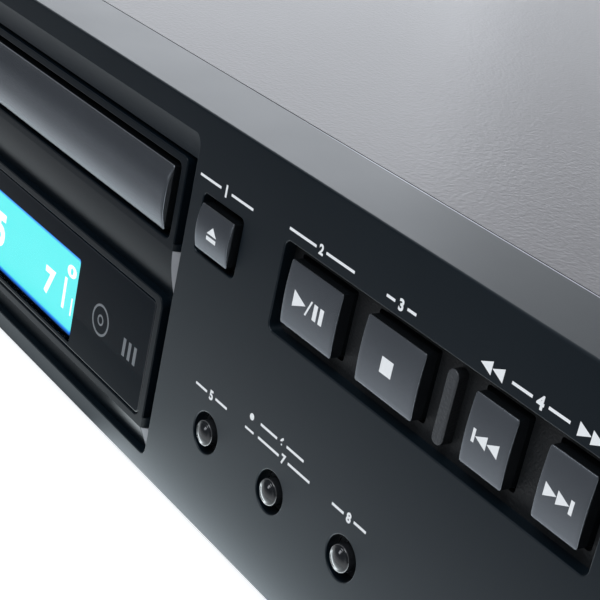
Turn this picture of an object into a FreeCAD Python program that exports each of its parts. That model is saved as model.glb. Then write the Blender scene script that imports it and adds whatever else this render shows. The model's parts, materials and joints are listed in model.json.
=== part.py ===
import FreeCAD, Part
import math
import os

# Two-unit rack-mount disc player, in millimetres.
# Origin: centre of the four rack slots, on the rear face of the rack ears, where the rails bear.
# +X to the right seen from the front, +Y into the machine, +Z up.
V = FreeCAD.Vector

# Front panel: a moulded hood whose face carries every control
PANEL_WIDTH = 435.0
PANEL_HEIGHT = 88.0
PANEL_DEPTH = 20.7
PANEL_PROUD = 6.0
PANEL_FACE = 3.0
PANEL_WALL = 2.5
PANEL_EDGE = 0.5
APERTURE_EDGE = 0.3
SEAM_EDGE = 0.3
DIVIDER_EDGE = 0.4
KNOB_COLLAR = 1.0

# Rack ears, for a 19-inch rack and two units of height
EAR_WIDTH = 23.8
EAR_SHEET = 2.0
EAR_LEG = 52.0
EAR_CORNER = 3.0
EAR_SCREW_Y = 7.0
EAR_SCREW_DROP = 18.0
EAR_SCREW_INSET = 12.0
RACK_HOLE_EDGE = 8.75
RACK_HOLE_DROP = 5.9
RACK_SLOT_WIDTH = 6.8
RACK_SLOT_LENGTH = 10.0

# Sheet-metal case
CASE_REAR = 264.0
COVER_SHEET = 1.0
COVER_BEND = 2.0
CHASSIS_SHEET = 1.2
CHASSIS_LIP = 14.0
COVER_GAP = 0.2
CHASSIS_GAP = 0.1
REAR_HEM = 10.0
REAR_LIP = 8.0
REAR_SCREW_INSET = 43.5
FRONT_TAB_WIDTH = 18.0
FRONT_TAB_DROP = 28.0
SIDE_SCREW_FRONT = 120.0
SIDE_SCREW_INSET = 29.0
VENT_COUNT = 12
VENT_PITCH = 7.0
VENT_LENGTH = 30.0
VENT_WIDTH = 3.0
VENT_START = 130.0
VENT_DROP = 39.0
FLOOR_VENT_COUNT = 8
FLOOR_VENT_OFFSET = 62.0

# Feet
FOOT_HEIGHT = 6.0
FOOT_RADIUS = 11.0
FOOT_TOP_RADIUS = 9.0
FOOT_INSET = 35.5
FOOT_FRONT = 38.0
FOOT_REAR_INSET = 32.0
FOOT_RIVET = 3.0

# Screws
SCREW_HEAD = 2.9
SCREW_HEAD_HEIGHT = 1.8
SCREW_SHANK = 1.5
SCREW_LENGTH = 6.0
SCREW_CLEAR = 0.25
THREAD_GAP = 0.04
SEAT_GAP = 0.15
CLOSE = 0.01

# Disc and tray: the disc sets the tray, the tray sets the door, and the door sets the bezel
BLOCK_X = -41.9
DISC_RADIUS = 60.5
TRAY_MARGIN = 9.5
TRAY_LIP = 7.9
TRAY_TAIL = 43.1
TRAY_HEIGHT = 9.6
TRAY_GAP = 0.8
TRAY_FLOOR = 2.0
TRAY_SIDE = 2.0
TRAY_RAISED_FLOOR = 1.5
TRAY_CORNER = 4.0
DISC_LEDGE = 4.4
SMALL_DISC_RADIUS = 40.5
SMALL_DISC_STEP = 1.4
FINGER_RADIUS = 12.0
FINGER_ANGLE = 25.0
TRAY_HOLE_GAP = 3.5
TRAY_SLOT = 44.0
CHANNEL_GAP = 3.0
CHANNEL_CLEAR = 0.7
TRAY_RUNNER = 2.6
RUNNER_HEIGHT = 2.2
RUNNER_START = 14.0
DOOR_LAP = 4.2
DOOR_SIDE_GAP = 2.5
DOOR_LOW_GAP = 1.2
DOOR_TOP_GAP = 1.5
DOOR_BULGE = 1.4
DOOR_THICK = 3.6
DOOR_LUG = 18.0
DOOR_LUG_THICK = 1.6
DOOR_LUG_HEIGHT = 3.0

# Recess in the panel round the tray and the window
RECESS_DROP = 5.7
RECESS_RISE = 4.5
RECESS_CORNER = 3.0
SLOPE_HEIGHT = 5.6
SLOPE_DEPTH = 0.7
GROOVE = 3.2
TOP_GROOVE = 0.9
BEZEL_BOTTOM_GAP = 0.2

# Bezel: tray frame, chin and window frame in one moulding
BEZEL_FLANGE = 2.0
BEZEL_LAP = 2.8
TRAY_FRAME_HEIGHT = 21.6
FRAME_RIM = 1.8
FRAME_SIDE = 2.2
TRAY_FRAME_CORNER = 1.6
SLOT_CORNER = 1.5
CHIN_HEIGHT = 11.5
CHIN_DEPTH = 2.3
CHIN_BULGE = 0.45
CHIN_DRAFT = 1.3
LOWER_CHIN_HEIGHT = 5.3
LOWER_CHIN_DEPTH = 2.1
WINDOW_CORNER = 2.5

# Window lens and display
LENS_THICK = 2.0
LENS_SINK = 0.2
LENS_EDGE = 0.45
LENS_GAP = 0.15
LENS_CORNER = 1.6
LCD_WIDTH = 77.2
LCD_THICK = 2.8
LCD_INSET = 38.1
LCD_LOW_MARGIN = 1.1
LCD_TOP_MARGIN = 6.2
LCD_GAP = 0.2
HOLDER_WALL = 2.4
DISPLAY_BOARD_DEPTH = 12.0
DISPLAY_BOARD_WIDTH = 140.0
DISPLAY_BOARD_LAP = 4.6
BOARD_THICK = 1.6

# Transport keys and the textured well that they stand in
KEY_ROW_DROP = 24.05
KEY_HEIGHT = 13.7
KEY_BULGE = 0.4
WIDE_KEY = 17.2
NARROW_KEY = 11.0
WIDE_SPACE = 8.0
DIVIDER_SPACE = 13.6
NARROW_SPACE = 7.6
WELL_SPACE = 10.35
WELL_END = 3.4
WELL_DROP = 24.3
WELL_MARGIN = 2.95
WELL_CORNER = 1.7
WELL_LAP = 3.0
WELL_FLOOR = 2.0
KEY_GAP = 0.6
DIVIDER_WIDTH = 2.9
DIVIDER_MARGIN = 2.3
DIVIDER_SINK = 0.4

# Open and close key
OPEN_SPACE = 0.65
OPEN_DROP = 23.3
OPEN_WIDTH = 12.5
OPEN_HEIGHT = 10.1
OPEN_PROUD = 1.0
OPEN_BULGE = 0.8
OPEN_GAP = 1.6
OPEN_CORNER = 1.2

# Small round keys
ROUND_KEY_OFFSET = 21.5
ROUND_KEY_PITCH = 25.1
ROUND_KEY_COUNT = 3
ROUND_KEY_RADIUS = 3.7
ROUND_KEY_GAP = 0.95
ROUND_KEY_PROUD = 0.3
ROUND_KEY_DOME = 0.7
LOW_ROW_RISE = 22.2

# What stands behind every key
KEY_FLANGE = 1.2
KEY_FLANGE_LAP = 1.3
KEY_PLAY = 0.2
KEY_TRAVEL = 0.6
KEY_STEM = 1.6
SWITCH_SIDE = 6.0
SWITCH_HEIGHT = 3.4
PLUNGER_RADIUS = 1.6
PLUNGER_HEIGHT = 0.6
KEY_BOARD_DEPTH = 14.0
KEY_BOARD_MARGIN = 6.0
KEY_BOARD_INSET = 4.5
BOSS_RADIUS = 3.2
BOSS_BORE = 1.2

# Power key, level knob and phones jack on the left of the panel
POWER_INSET = 33.5
POWER_WIDTH = 20.0
POWER_HEIGHT = 12.0
POWER_PROUD = 2.0
POWER_BULGE = 0.5
POWER_GAP = 0.5
POWER_CORNER = 1.2
POWER_TRAVEL = 3.0
POWER_STEM = 3.0
POWER_SWITCH_DEPTH = 14.0
POWER_SWITCH_SIDE = 13.0
POWER_SWITCH_LENGTH = 20.0
POWER_EAR_GAP = 1.0
POWER_EAR_HEIGHT = 6.5
PHONES_INSET = 29.5
PHONES_BORE = 3.25
PHONES_COLLAR = 6.0
PHONES_THREAD = 4.6
PHONES_PROUD = 1.6
PHONES_BODY = 14.0
PHONES_LENGTH = 28.0
LEVEL_INSET = 61.5
KNOB_RADIUS = 7.5
KNOB_LENGTH = 13.0
KNOB_GAP = 0.8
KNOB_FLUTES = 24
KNOB_FLUTE = 0.5
POT_SHAFT = 3.0
POT_BUSHING = 4.4
POT_BODY = 12.0
POT_DEPTH = 9.0
RUNNING_GAP = 0.05
SHAFT_REACH = 6.0

# Loading gears: pulley pinion, two-step drive gear and the rack inside the tray's left side
MODULE = 1.0
DRIVE_TEETH = 24
RACK_PINION_TEETH = 16
PINION_TEETH = 12
ADDENDUM = 0.8
DEDENDUM = 1.05
BACKLASH = 0.12
PRESSURE_ANGLE = 20.0
RACK_INSET = 4.0
RACK_BACK = 2.0
RACK_HEIGHT = 3.0
DRIVE_GEAR_Y = 30.0
GEAR_RISE = 6.6
GEAR_WIDTH = 4.0
GEAR_WEB = 1.6
GEAR_POST = 2.0
GEAR_HUB = 4.0
RIM_WALL = 2.4
PULLEY_RADIUS = 10.5
PULLEY_GROOVE = 1.1
PULLEY_RISE = 1.4
PULLEY_HEIGHT = 3.0
MOTOR_PULLEY_RADIUS = 3.6
MOTOR_OFFSET = 22.0
MOTOR_Y = 22.0
BELT = 1.2
BELT_GAP = 0.05
MOTOR_RADIUS = 12.0
MOTOR_LENGTH = 18.0
MOTOR_BOSS = 3.0
MOTOR_SHAFT = 1.0

# Loader frame
LOADER_DROP = 12.8
LOADER_FLOOR = 2.0
LOADER_WALL = 3.0
LOADER_FRONT = 11.0
LOADER_TAIL = 10.4
RUNNER_SIDE_GAP = 0.8
LEDGE_GAP = 1.0
LEDGE_HEIGHT = 2.0
HOOK_LENGTH = 14.0
SLIDE_GAP = 0.3
REAR_WALL_GAP = 1.8
FRONT_WALL_HEIGHT = 5.0
BRACKET_SHEET = 1.2
BRACKET_FLANGE = 12.0
BRACKET_FRONT_INSET = 13.0
BRACKET_REAR_INSET = 10.0
BRACKET_WINDOW = 16.0
LOADER_SCREW_FRONT = 49.0
LOADER_SCREW_REAR = 18.0

# Clamp over the disc
BRIDGE_GAP = 4.6
BRIDGE_WIDTH = 34.0
BRIDGE_SHEET = 1.2
BRIDGE_RIB = 4.0
BRIDGE_TAB = 8.0
CLAMPER_RADIUS = 17.0
CLAMPER_NECK = 11.0
CLAMPER_HOLE_GAP = 2.0
CLAMPER_CAP = 15.5
CLAMPER_DISC = 3.4
CLAMPER_CONE = 1.0
CLAMPER_CAP_THICK = 1.6
CLAMPER_RECESS_GAP = 1.6
CLAMPER_RECESS_DEPTH = 3.4
CLAMPER_REST = 2.2
CLAMPER_PLAY = 0.2

# Swinging lift frame that raises the turntable into the disc
LIFT_ANGLE = 6.0
LIFT_HALF = 46.0
LIFT_LEAD = 20.0
LIFT_TAIL = 5.0
LIFT_DROP = 4.0
LIFT_HEIGHT = 10.0
LIFT_WALL = 3.0
LIFT_LEDGE = 9.0
LIFT_LEDGE_HEIGHT = 3.0
LIFT_GAP = 1.4
PIVOT_REACH = 84.0
PIVOT_PIN = 2.0
PIVOT_LENGTH = 4.4
LUG_THICK = 3.4
LUG_RADIUS = 4.5
CAM_PIN_X = 36.0
CAM_PIN = 1.8
CAM_PIN_DROP = 1.0
CAM_PIN_LENGTH = 2.4
CAM_TRAVEL = 18.0
CAM_SHEET = 2.0
CAM_MARGIN = 3.2
CAM_FOOT = 6.0
CAM_FOOT_HEIGHT = 2.0
CAM_FOOT_REACH = 11.0
CAM_GUIDE = 6.0
CAM_GAP = 0.15

# Traverse: plate, damped in the lift frame, with turntable, pickup and its drive
PLATE_SHEET = 1.2
PLATE_SINK = 0.2
PLATE_SIDE_GAP = 0.8
PLATE_FRONT_GAP = 1.5
PLATE_REAR_GAP = 5.0
DAMPER_RADIUS = 3.6
DAMPER_WAIST = 2.4
DAMPER_INSET = 5.4
DISC_LIFT = 1.6
TURNTABLE_RADIUS = 14.5
TURNTABLE_THICK = 2.4
TURNTABLE_HUB = 7.4
TURNTABLE_HUB_RISE = 3.0
TURNTABLE_SLEEVE = 4.0
SLEEVE_GAP = 1.0
SPINDLE_RADIUS = 12.0
SPINDLE_HEIGHT = 7.0
SPINDLE_SHAFT = 1.0
ROD_RADIUS = 1.5
ROD_RISE = 2.4
ROD_LEAD = 8.0
ROD_TAIL = 2.0
ROD_SPACE = 5.0
ROD_BLOCK = 4.0
ROD_CAP = 0.6
PICKUP_TRAVEL = 35.0
PICKUP_START = 23.0
PICKUP_FRONT = 8.0
PICKUP_LENGTH = 22.0
PICKUP_HALF = 17.0
PICKUP_DROP = 6.0
PICKUP_DEPTH = 8.6
PICKUP_CORNER = 2.0
PICKUP_ARM = 5.0
ARM_WALL = 0.5
ARM_END = 1.0
WINDOW_MARGIN = 2.0
LENS_RADIUS = 3.0
LENS_HOLDER = 10.0
LENS_HOLDER_HEIGHT = 1.5
LENS_HOLDER_CORNER = 1.0
LENS_WELL_GAP = 1.0
LENS_WELL_DEPTH = 3.0
LENS_YOKE = 1.6
LENS_YOKE_HEIGHT = 2.2
LENS_DOME = 0.6
LENS_FOCUS = 0.6
SLED_MODULE = 0.8
SLED_TEETH = 20
SLED_PINION_TEETH = 12
SLED_RACK_SPACE = 2.0
SLED_RACK_BACK = 2.2
SLED_RACK_LEAD = 26.4
SLED_RACK_LENGTH = 40.6
SLED_GEAR_OFFSET = 11.5
SLED_GEAR_RISE = 4.6
SLED_GEAR_WIDTH = 2.4
SLED_POST = 1.2
SLED_MOTOR_RADIUS = 7.0
SLED_MOTOR_LENGTH = 13.0

# Electronics
STANDOFF_RADIUS = 3.0
STANDOFF_HEIGHT = 7.0
MAIN_BOARD_SPACE = 23.5
MAIN_BOARD_INSET = 11.5
MAIN_BOARD_FRONT = 96.0
POWER_BOARD_INSET = 9.5
POWER_BOARD_WIDTH = 80.0
POWER_BOARD_FRONT = 176.0
BOARD_REAR_GAP = 2.0
BOARD_INSET = 5.0
JACK_CLEARANCE = 20.0
CAPACITOR_RADIUS = 5.0
CAPACITOR_HEIGHT = 16.0
CAPACITOR_PITCH = 14.0
CAPACITOR_COUNT = 4
CAPACITOR_Y = 26.0
CHIP_SIDE = 14.0
CHIP_HEIGHT = 2.0
CHIP_PITCH = 36.0
CHIP_COUNT = 3
CHIP_Y = 60.0
CONNECTOR_LENGTH = 20.0
CONNECTOR_WIDTH = 5.0
CONNECTOR_HEIGHT = 7.0
CONNECTOR_INSET = 22.0
CONNECTOR_Y = 10.0
HEAT_SINK_LENGTH = 40.0
HEAT_SINK_HEIGHT = 26.0
HEAT_SINK_DEPTH = 14.0
HEAT_SINK_INSET = 8.0
HEAT_SINK_FINS = 6
HEAT_SINK_FIN = 1.4
TRANSFORMER_INSET = 41.5
TRANSFORMER_Y = 92.0
CORE_LENGTH = 60.0
CORE_HEIGHT = 50.0
CORE_DEPTH = 24.0
COIL_MARGIN = 10.0
COIL_OVERHANG = 10.0
TRANSFORMER_FLANGE = 12.0
FLEX_THICK = 0.4
FLEX_WIDTH = 18.0

# Rear sockets
INLET_INSET = 45.5
INLET_RISE = 36.0
INLET_WIDTH = 27.0
INLET_HEIGHT = 19.6
INLET_WALL = 1.7
INLET_CORNER = 4.0
INLET_DEPTH = 26.0
INLET_BACK = 9.0
INLET_FLANGE = 2.0
INLET_FLANGE_LAP = 2.2
INLET_PIN_LENGTH = 12.0
INLET_PIN_PITCH = 7.0
INLET_PIN_STEP = 4.0
INLET_PIN_WIDTH = 2.0
INLET_PIN_HEIGHT = 4.0
JACK_INSET = 109.5
JACK_PITCH = 20.0
JACK_COUNT = 3
JACK_RADIUS = 4.15
JACK_LENGTH = 9.5
JACK_BORE = 1.6
JACK_BODY = 14.0
JACK_BODY_DEPTH = 12.0
JACK_RISE = 12.0
JACK_COLLAR = 5.6
OPTICAL_WIDTH = 9.8
OPTICAL_HEIGHT = 10.6
OPTICAL_PROUD = 1.2

# Planes of the panel and the case
FRONT = -PANEL_PROUD
TOP = PANEL_HEIGHT / 2
BOTTOM = -TOP
HALF = PANEL_WIDTH / 2
SEAM = FRONT + PANEL_DEPTH
FACE_BACK = FRONT + PANEL_FACE
RACK_WIDTH = PANEL_WIDTH + 2 * EAR_WIDTH
RACK_HOLE_SPAN = RACK_WIDTH - 2 * RACK_HOLE_EDGE
RACK_HOLE_RISE = PANEL_HEIGHT - 2 * RACK_HOLE_DROP
EAR_SCREW_RISE = TOP - EAR_SCREW_DROP
FLOOR_TOP = BOTTOM + CHASSIS_SHEET
CASE_FRONT = SEAM + COVER_GAP
CHASSIS_HALF = HALF - COVER_SHEET - CHASSIS_GAP
CHASSIS_REAR = CASE_REAR - CHASSIS_SHEET - CHASSIS_GAP

# Tray, door, bezel and window
TRAY_WIDTH = 2 * (DISC_RADIUS + TRAY_MARGIN)
DOOR_WIDTH = TRAY_WIDTH + 2 * DOOR_LAP
SLOT_HALF = DOOR_WIDTH / 2 + DOOR_SIDE_GAP
BEZEL_HALF = SLOT_HALF + FRAME_SIDE
RECESS_WIDTH = 2 * (BEZEL_HALF + GROOVE)
RECESS_RIGHT = BLOCK_X + RECESS_WIDTH / 2
RECESS_TOP = TOP - RECESS_DROP
RECESS_BOTTOM = BOTTOM + RECESS_RISE
TRAY_FRAME_TOP = RECESS_TOP - SLOPE_HEIGHT - TOP_GROOVE
TRAY_FRAME_BOTTOM = TRAY_FRAME_TOP - TRAY_FRAME_HEIGHT
SLOT_LOW = TRAY_FRAME_BOTTOM + FRAME_RIM
SLOT_HIGH = TRAY_FRAME_TOP - FRAME_RIM
WINDOW_TOP = TRAY_FRAME_BOTTOM - CHIN_HEIGHT
LOWER_CHIN_END = RECESS_BOTTOM + BEZEL_BOTTOM_GAP
WINDOW_BOTTOM = LOWER_CHIN_END + LOWER_CHIN_HEIGHT
POCKET_LOW = WINDOW_BOTTOM + FRAME_RIM
POCKET_HIGH = WINDOW_TOP - FRAME_RIM
BEZEL_BACK = FACE_BACK + BEZEL_FLANGE
LENS_FRONT = FRONT + LENS_SINK
LENS_BACK = LENS_FRONT + LENS_THICK
LCD_FRONT = LENS_BACK + LCD_GAP
LCD_X = BLOCK_X + SLOT_HALF - LCD_INSET - LCD_WIDTH / 2
LCD_HEIGHT = POCKET_HIGH - POCKET_LOW - LCD_LOW_MARGIN - LCD_TOP_MARGIN
LCD_CENTRE_RISE = POCKET_LOW + LCD_LOW_MARGIN + LCD_HEIGHT / 2
DISPLAY_BOARD_FRONT = FRONT + DISPLAY_BOARD_DEPTH
DOOR_LOW = SLOT_LOW + DOOR_LOW_GAP
DOOR_HIGH = SLOT_HIGH - DOOR_TOP_GAP
TRAY_RISE = SLOT_LOW + TRAY_GAP
TRAY_FRONT = FRONT + DOOR_THICK
DISC_Y = TRAY_FRONT + TRAY_LIP + DISC_RADIUS
TRAY_REAR = DISC_Y + DISC_RADIUS + TRAY_TAIL
TRAY_TOP = TRAY_RISE + TRAY_HEIGHT
DISC_Z = TRAY_TOP - DISC_LEDGE
SMALL_DISC_Z = DISC_Z - SMALL_DISC_STEP
TRAY_UNDER = SMALL_DISC_Z - TRAY_FLOOR

# Controls, each placed from its neighbour
OPEN_REACH = OPEN_WIDTH / 2 + OPEN_GAP + KEY_FLANGE_LAP
OPEN_X = RECESS_RIGHT + BEZEL_LAP + OPEN_SPACE + OPEN_REACH
OPEN_RISE = TOP - OPEN_DROP
PLAY_X = OPEN_X + OPEN_REACH + WELL_SPACE + WELL_LAP + WELL_END + WIDE_KEY / 2
STOP_X = PLAY_X + WIDE_KEY + WIDE_SPACE
SKIP_BACK_X = STOP_X + WIDE_KEY / 2 + DIVIDER_SPACE + NARROW_KEY / 2
SKIP_FORWARD_X = SKIP_BACK_X + NARROW_KEY + NARROW_SPACE
DIVIDER_X = STOP_X + WIDE_KEY / 2 + DIVIDER_SPACE / 2
KEY_ROW = TOP - KEY_ROW_DROP
WELL_ROW = TOP - WELL_DROP
WELL_HEIGHT = KEY_HEIGHT + 2 * WELL_MARGIN
WELL_X = (PLAY_X - WIDE_KEY / 2 - WELL_END, SKIP_FORWARD_X + NARROW_KEY / 2 + WELL_END)
WELL_Z = (WELL_ROW - WELL_HEIGHT / 2, WELL_ROW + WELL_HEIGHT / 2)
ROUND_KEY_HOLE = ROUND_KEY_RADIUS + ROUND_KEY_GAP
ROUND_KEYS = [RECESS_RIGHT + ROUND_KEY_OFFSET + n * ROUND_KEY_PITCH for n in range(ROUND_KEY_COUNT)]
LOW_ROW = BOTTOM + LOW_ROW_RISE
KEY_BOARD_FRONT = FRONT + KEY_BOARD_DEPTH
SWITCH_FRONT = KEY_BOARD_FRONT - SWITCH_HEIGHT - PLUNGER_HEIGHT
STEM_END = SWITCH_FRONT - KEY_TRAVEL
POWER_X = POWER_INSET - HALF
POWER_EAR = POWER_WIDTH / 2 + POWER_GAP + KEY_FLANGE_LAP + POWER_EAR_GAP + BOSS_RADIUS
PHONES_X = PHONES_INSET - HALF
LEVEL_X = LEVEL_INSET - HALF

# Loader, its gears and the clamp
LOADER_Z = TRAY_RISE - LOADER_DROP
LOADER_LOW = LOADER_Z - LOADER_FLOOR
LOADER_INNER = TRAY_WIDTH / 2 + TRAY_RUNNER + RUNNER_SIDE_GAP
LOADER_HALF = LOADER_INNER + LOADER_WALL
LOADER_REAR = TRAY_REAR + LOADER_TAIL
RUNNER_LOW = TRAY_RISE + SLIDE_GAP
DRIVE_RADIUS = MODULE * DRIVE_TEETH / 2
RACK_PINION_RADIUS = MODULE * RACK_PINION_TEETH / 2
PINION_RADIUS = MODULE * PINION_TEETH / 2
RACK_X = BLOCK_X - TRAY_WIDTH / 2 + RACK_INSET
DRIVE_X = RACK_X + RACK_PINION_RADIUS
PULLEY_X = DRIVE_X + DRIVE_RADIUS + PINION_RADIUS
MOTOR_PULLEY_X = PULLEY_X + MOTOR_OFFSET
GEAR_LOW = LOADER_Z + GEAR_RISE
PULLEY_LOW = LOADER_Z + PULLEY_RISE
RACK_PINION_TOP = TRAY_RISE + RACK_HEIGHT - KEY_PLAY
BRIDGE_LOW = TRAY_TOP + BRIDGE_GAP
BRIDGE_TOP = BRIDGE_LOW + BRIDGE_SHEET
CLAMPER_LOW = DISC_Z + CLAMPER_REST

# Lift and traverse in their raised, level place
LIFT_FRONT = DISC_Y - LIFT_LEAD
PIVOT_Y = DISC_Y + PIVOT_REACH
LIFT_REAR = PIVOT_Y + LIFT_TAIL
LIFT_LOW = LOADER_Z - LIFT_DROP
LIFT_TOP = LIFT_LOW + LIFT_HEIGHT
PLATE_LOW = LIFT_TOP - PLATE_SINK
PLATE_TOP = PLATE_LOW + PLATE_SHEET
PLATE_HALF = LIFT_HALF - LIFT_WALL - PLATE_SIDE_GAP
PLATE_FRONT = LIFT_FRONT + LIFT_WALL + PLATE_FRONT_GAP
PLATE_REAR = LIFT_REAR - LIFT_WALL - PLATE_REAR_GAP
TURNTABLE_TOP = DISC_Z + DISC_LIFT
ROD_Z = PLATE_TOP + ROD_RISE
ROD_OFFSET = PICKUP_HALF + ROD_SPACE
ROD_START = DISC_Y - ROD_LEAD
ROD_END = PLATE_REAR - ROD_TAIL
PICKUP_Y = DISC_Y + PICKUP_START
PICKUP_TOP = TURNTABLE_TOP - PICKUP_DROP
SLED_RADIUS = SLED_MODULE * SLED_TEETH / 2
SLED_PINION_RADIUS = SLED_MODULE * SLED_PINION_TEETH / 2
SLED_RACK_X = BLOCK_X - ROD_OFFSET - SLED_RACK_SPACE
SLED_RACK_START = PICKUP_Y - SLED_RACK_LEAD
SLED_GEAR_X = SLED_RACK_X - SLED_RADIUS
SLED_GEAR_Y = PICKUP_Y + SLED_GEAR_OFFSET
SLED_PINION_Y = SLED_GEAR_Y + SLED_RADIUS + SLED_PINION_RADIUS
SLED_GEAR_LOW = PLATE_TOP + SLED_GEAR_RISE
CAM_PIN_PLACE = BLOCK_X + CAM_PIN_X
CAM_PIN_RISE = LIFT_TOP - CAM_PIN - CAM_PIN_DROP
CAM_Y = LIFT_FRONT - LIFT_GAP / 2 - CAM_SHEET

# Boards and rear sockets
BOARD_LOW = FLOOR_TOP + STANDOFF_HEIGHT
BOARD_TOP = BOARD_LOW + BOARD_THICK
BOARD_REAR = CHASSIS_REAR - BOARD_REAR_GAP
MAIN_BOARD_LEFT = BLOCK_X + LOADER_HALF + MAIN_BOARD_SPACE
MAIN_BOARD_RIGHT = HALF - MAIN_BOARD_INSET
POWER_BOARD_LEFT = POWER_BOARD_INSET - HALF
POWER_BOARD_RIGHT = POWER_BOARD_LEFT + POWER_BOARD_WIDTH
TRANSFORMER_X = TRANSFORMER_INSET - HALF
INLET_X = INLET_INSET - HALF
INLET_Z = BOTTOM + INLET_RISE
JACK_X = HALF - JACK_INSET
JACK_Z = BOARD_TOP + JACK_RISE


# Building blocks
def on_front(y):
    """Places panel coordinates (x, z) at depth y."""
    return lambda x, z: V(x, y, z)


def on_floor(z):
    """Places plan coordinates (x, y) at height z."""
    return lambda x, y: V(x, y, z)


def on_side(x):
    """Places side-view coordinates (y, z) at x."""
    return lambda y, z: V(x, y, z)


def block(x, y, z):
    """Box between pairs of limits."""
    return Part.makeBox(x[1] - x[0], y[1] - y[0], z[1] - z[0], V(x[0], y[0], z[0]))


def about(centre, size):
    """Pair of limits of the given size about a centre."""
    return (centre - size / 2, centre + size / 2)


def pin(radius, start, end):
    """Round bar from one point to another."""
    way = end - start
    return Part.makeCylinder(radius, way.Length, start, way)


def polygon(points, place, sweep):
    """Prism whose outline is a closed list of corner points."""
    corners = [place(a, b) for a, b in points]
    return Part.Face(Part.makePolygon(corners + corners[:1])).extrude(sweep)


def rounded_face(a, b, radius, place):
    """Rectangle between the limits a and b with round corners."""
    r = min(radius, 0.49 * (a[1] - a[0]), 0.49 * (b[1] - b[0]))
    corners = [(a[1] - r, b[1] - r), (a[0] + r, b[1] - r), (a[0] + r, b[0] + r), (a[1] - r, b[0] + r)]
    ends = []
    for n, (ca, cb) in enumerate(corners):
        arc = [math.pi * (2 * n + k) / 4 for k in range(3)]
        ends.append([place(ca + r * math.cos(t), cb + r * math.sin(t)) for t in arc])
    edges = []
    for n, arc in enumerate(ends):
        edges.append(Part.Arc(*arc).toShape())
        edges.append(Part.LineSegment(arc[2], ends[(n + 1) % 4][0]).toShape())
    return Part.Face(Part.Wire(edges))


def slab(x, z, y, radius):
    """Rounded rectangle in the plane of the panel, through the depth y."""
    return rounded_face(x, z, radius, on_front(y[0])).extrude(V(0, y[1] - y[0], 0))


def plate(x, y, z, radius):
    """Rounded rectangle in plan, through the height z."""
    return rounded_face(x, y, radius, on_floor(z[0])).extrude(V(0, 0, z[1] - z[0]))


def barrel(x, z, edge, bulge, back):
    """Bar along X whose front is a shallow arc, as on a cushioned key."""
    bottom = V(x[0], edge, z[0])
    middle = V(x[0], edge - bulge, (z[0] + z[1]) / 2)
    top = V(x[0], edge, z[1])
    edges = [Part.Arc(bottom, middle, top).toShape()]
    edges.append(Part.makePolygon([top, V(x[0], back, z[1]), V(x[0], back, z[0]), bottom]))
    return Part.Face(Part.Wire(edges)).extrude(V(x[1] - x[0], 0, 0))


def cove(x, z, edge, depth):
    """Bar along X with a hollow back: an arc that leaves the edge at the top and ends upright at the depth."""
    height = z[1] - z[0]
    radius = (height ** 2 + depth ** 2) / (2 * depth)
    half = math.asin(height / radius) / 2
    top = V(x[0], edge, z[1])
    middle = V(x[0], edge + depth - radius * (1 - math.cos(half)), z[0] + radius * math.sin(half))
    foot = V(x[0], edge + depth, z[0])
    edges = [Part.Arc(top, middle, foot).toShape()]
    edges.append(Part.makePolygon([foot, V(x[0], edge, z[0]), top]))
    return Part.Face(Part.Wire(edges)).extrude(V(x[1] - x[0], 0, 0))


def turned(points, x, y):
    """Solid turned about the vertical line at (x, y) from (radius, height) points."""
    outline = [V(x + r, y, z) for r, z in points]
    face = Part.Face(Part.makePolygon(outline + outline[:1]))
    return face.revolve(V(x, y, 0), V(0, 0, 1), 360)


def join(*shapes):
    """One solid from solids that overlap or touch."""
    return shapes[0].fuse(list(shapes[1:])).removeSplitter()


def group(*shapes):
    """Separate solids that share one node."""
    return Part.makeCompound(list(shapes))


def solids(shape):
    """The solids of a shape without what surrounds them."""
    return shape.Solids[0] if len(shape.Solids) == 1 else Part.makeCompound(shape.Solids)


def screw(start, way, length=SCREW_LENGTH):
    """Pan-head screw whose head sits at start; way points into the hole."""
    head = Part.makeCylinder(SCREW_HEAD, SCREW_HEAD_HEIGHT, start - way * SCREW_HEAD_HEIGHT, way)
    shank = Part.makeCylinder(SCREW_SHANK, length, start, way)
    return head.fuse(shank).removeSplitter()


def hole(radius, centre, way, reach):
    """Round cutter that reaches both ways from a point."""
    return Part.makeCylinder(radius, 2 * reach, centre - way * reach, way)


# Gears
def tooth_angles(teeth, module):
    """Half angles of a tooth at its root, pitch and tip circles, with their radii."""
    pitch = module * teeth / 2
    pressure = math.radians(PRESSURE_ANGLE)
    base = pitch * math.cos(pressure)
    half = (math.pi / 2 - BACKLASH / module / 2) / teeth
    involute = math.tan(pressure) - pressure
    rows = []
    for radius in (pitch - DEDENDUM * module, pitch, pitch + ADDENDUM * module):
        lean = math.acos(min(1.0, base / radius))
        rows.append((radius, half + involute - math.tan(lean) + lean))
    return rows


def gear_disc(x, y, teeth, module, phase, z):
    """Spur gear with straight-cut involute teeth; one tooth is centred on the phase angle."""
    rows = tooth_angles(teeth, module)
    points = []
    for n in range(teeth):
        centre = phase + 2 * math.pi * n / teeth
        flank = [(r, centre - half) for r, half in rows]
        flank += [(r, centre + half) for r, half in reversed(rows)]
        points += [(x + r * math.cos(t), y + r * math.sin(t)) for r, t in flank]
    return polygon(points, on_floor(z[0]), V(0, 0, z[1] - z[0]))


def mating_phase(teeth, phase, mate_teeth, direction):
    """Phase that puts a gap of the mate against a tooth, along the line of centres."""
    return direction + math.pi + (math.pi - teeth * (phase - direction)) / mate_teeth


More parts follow.
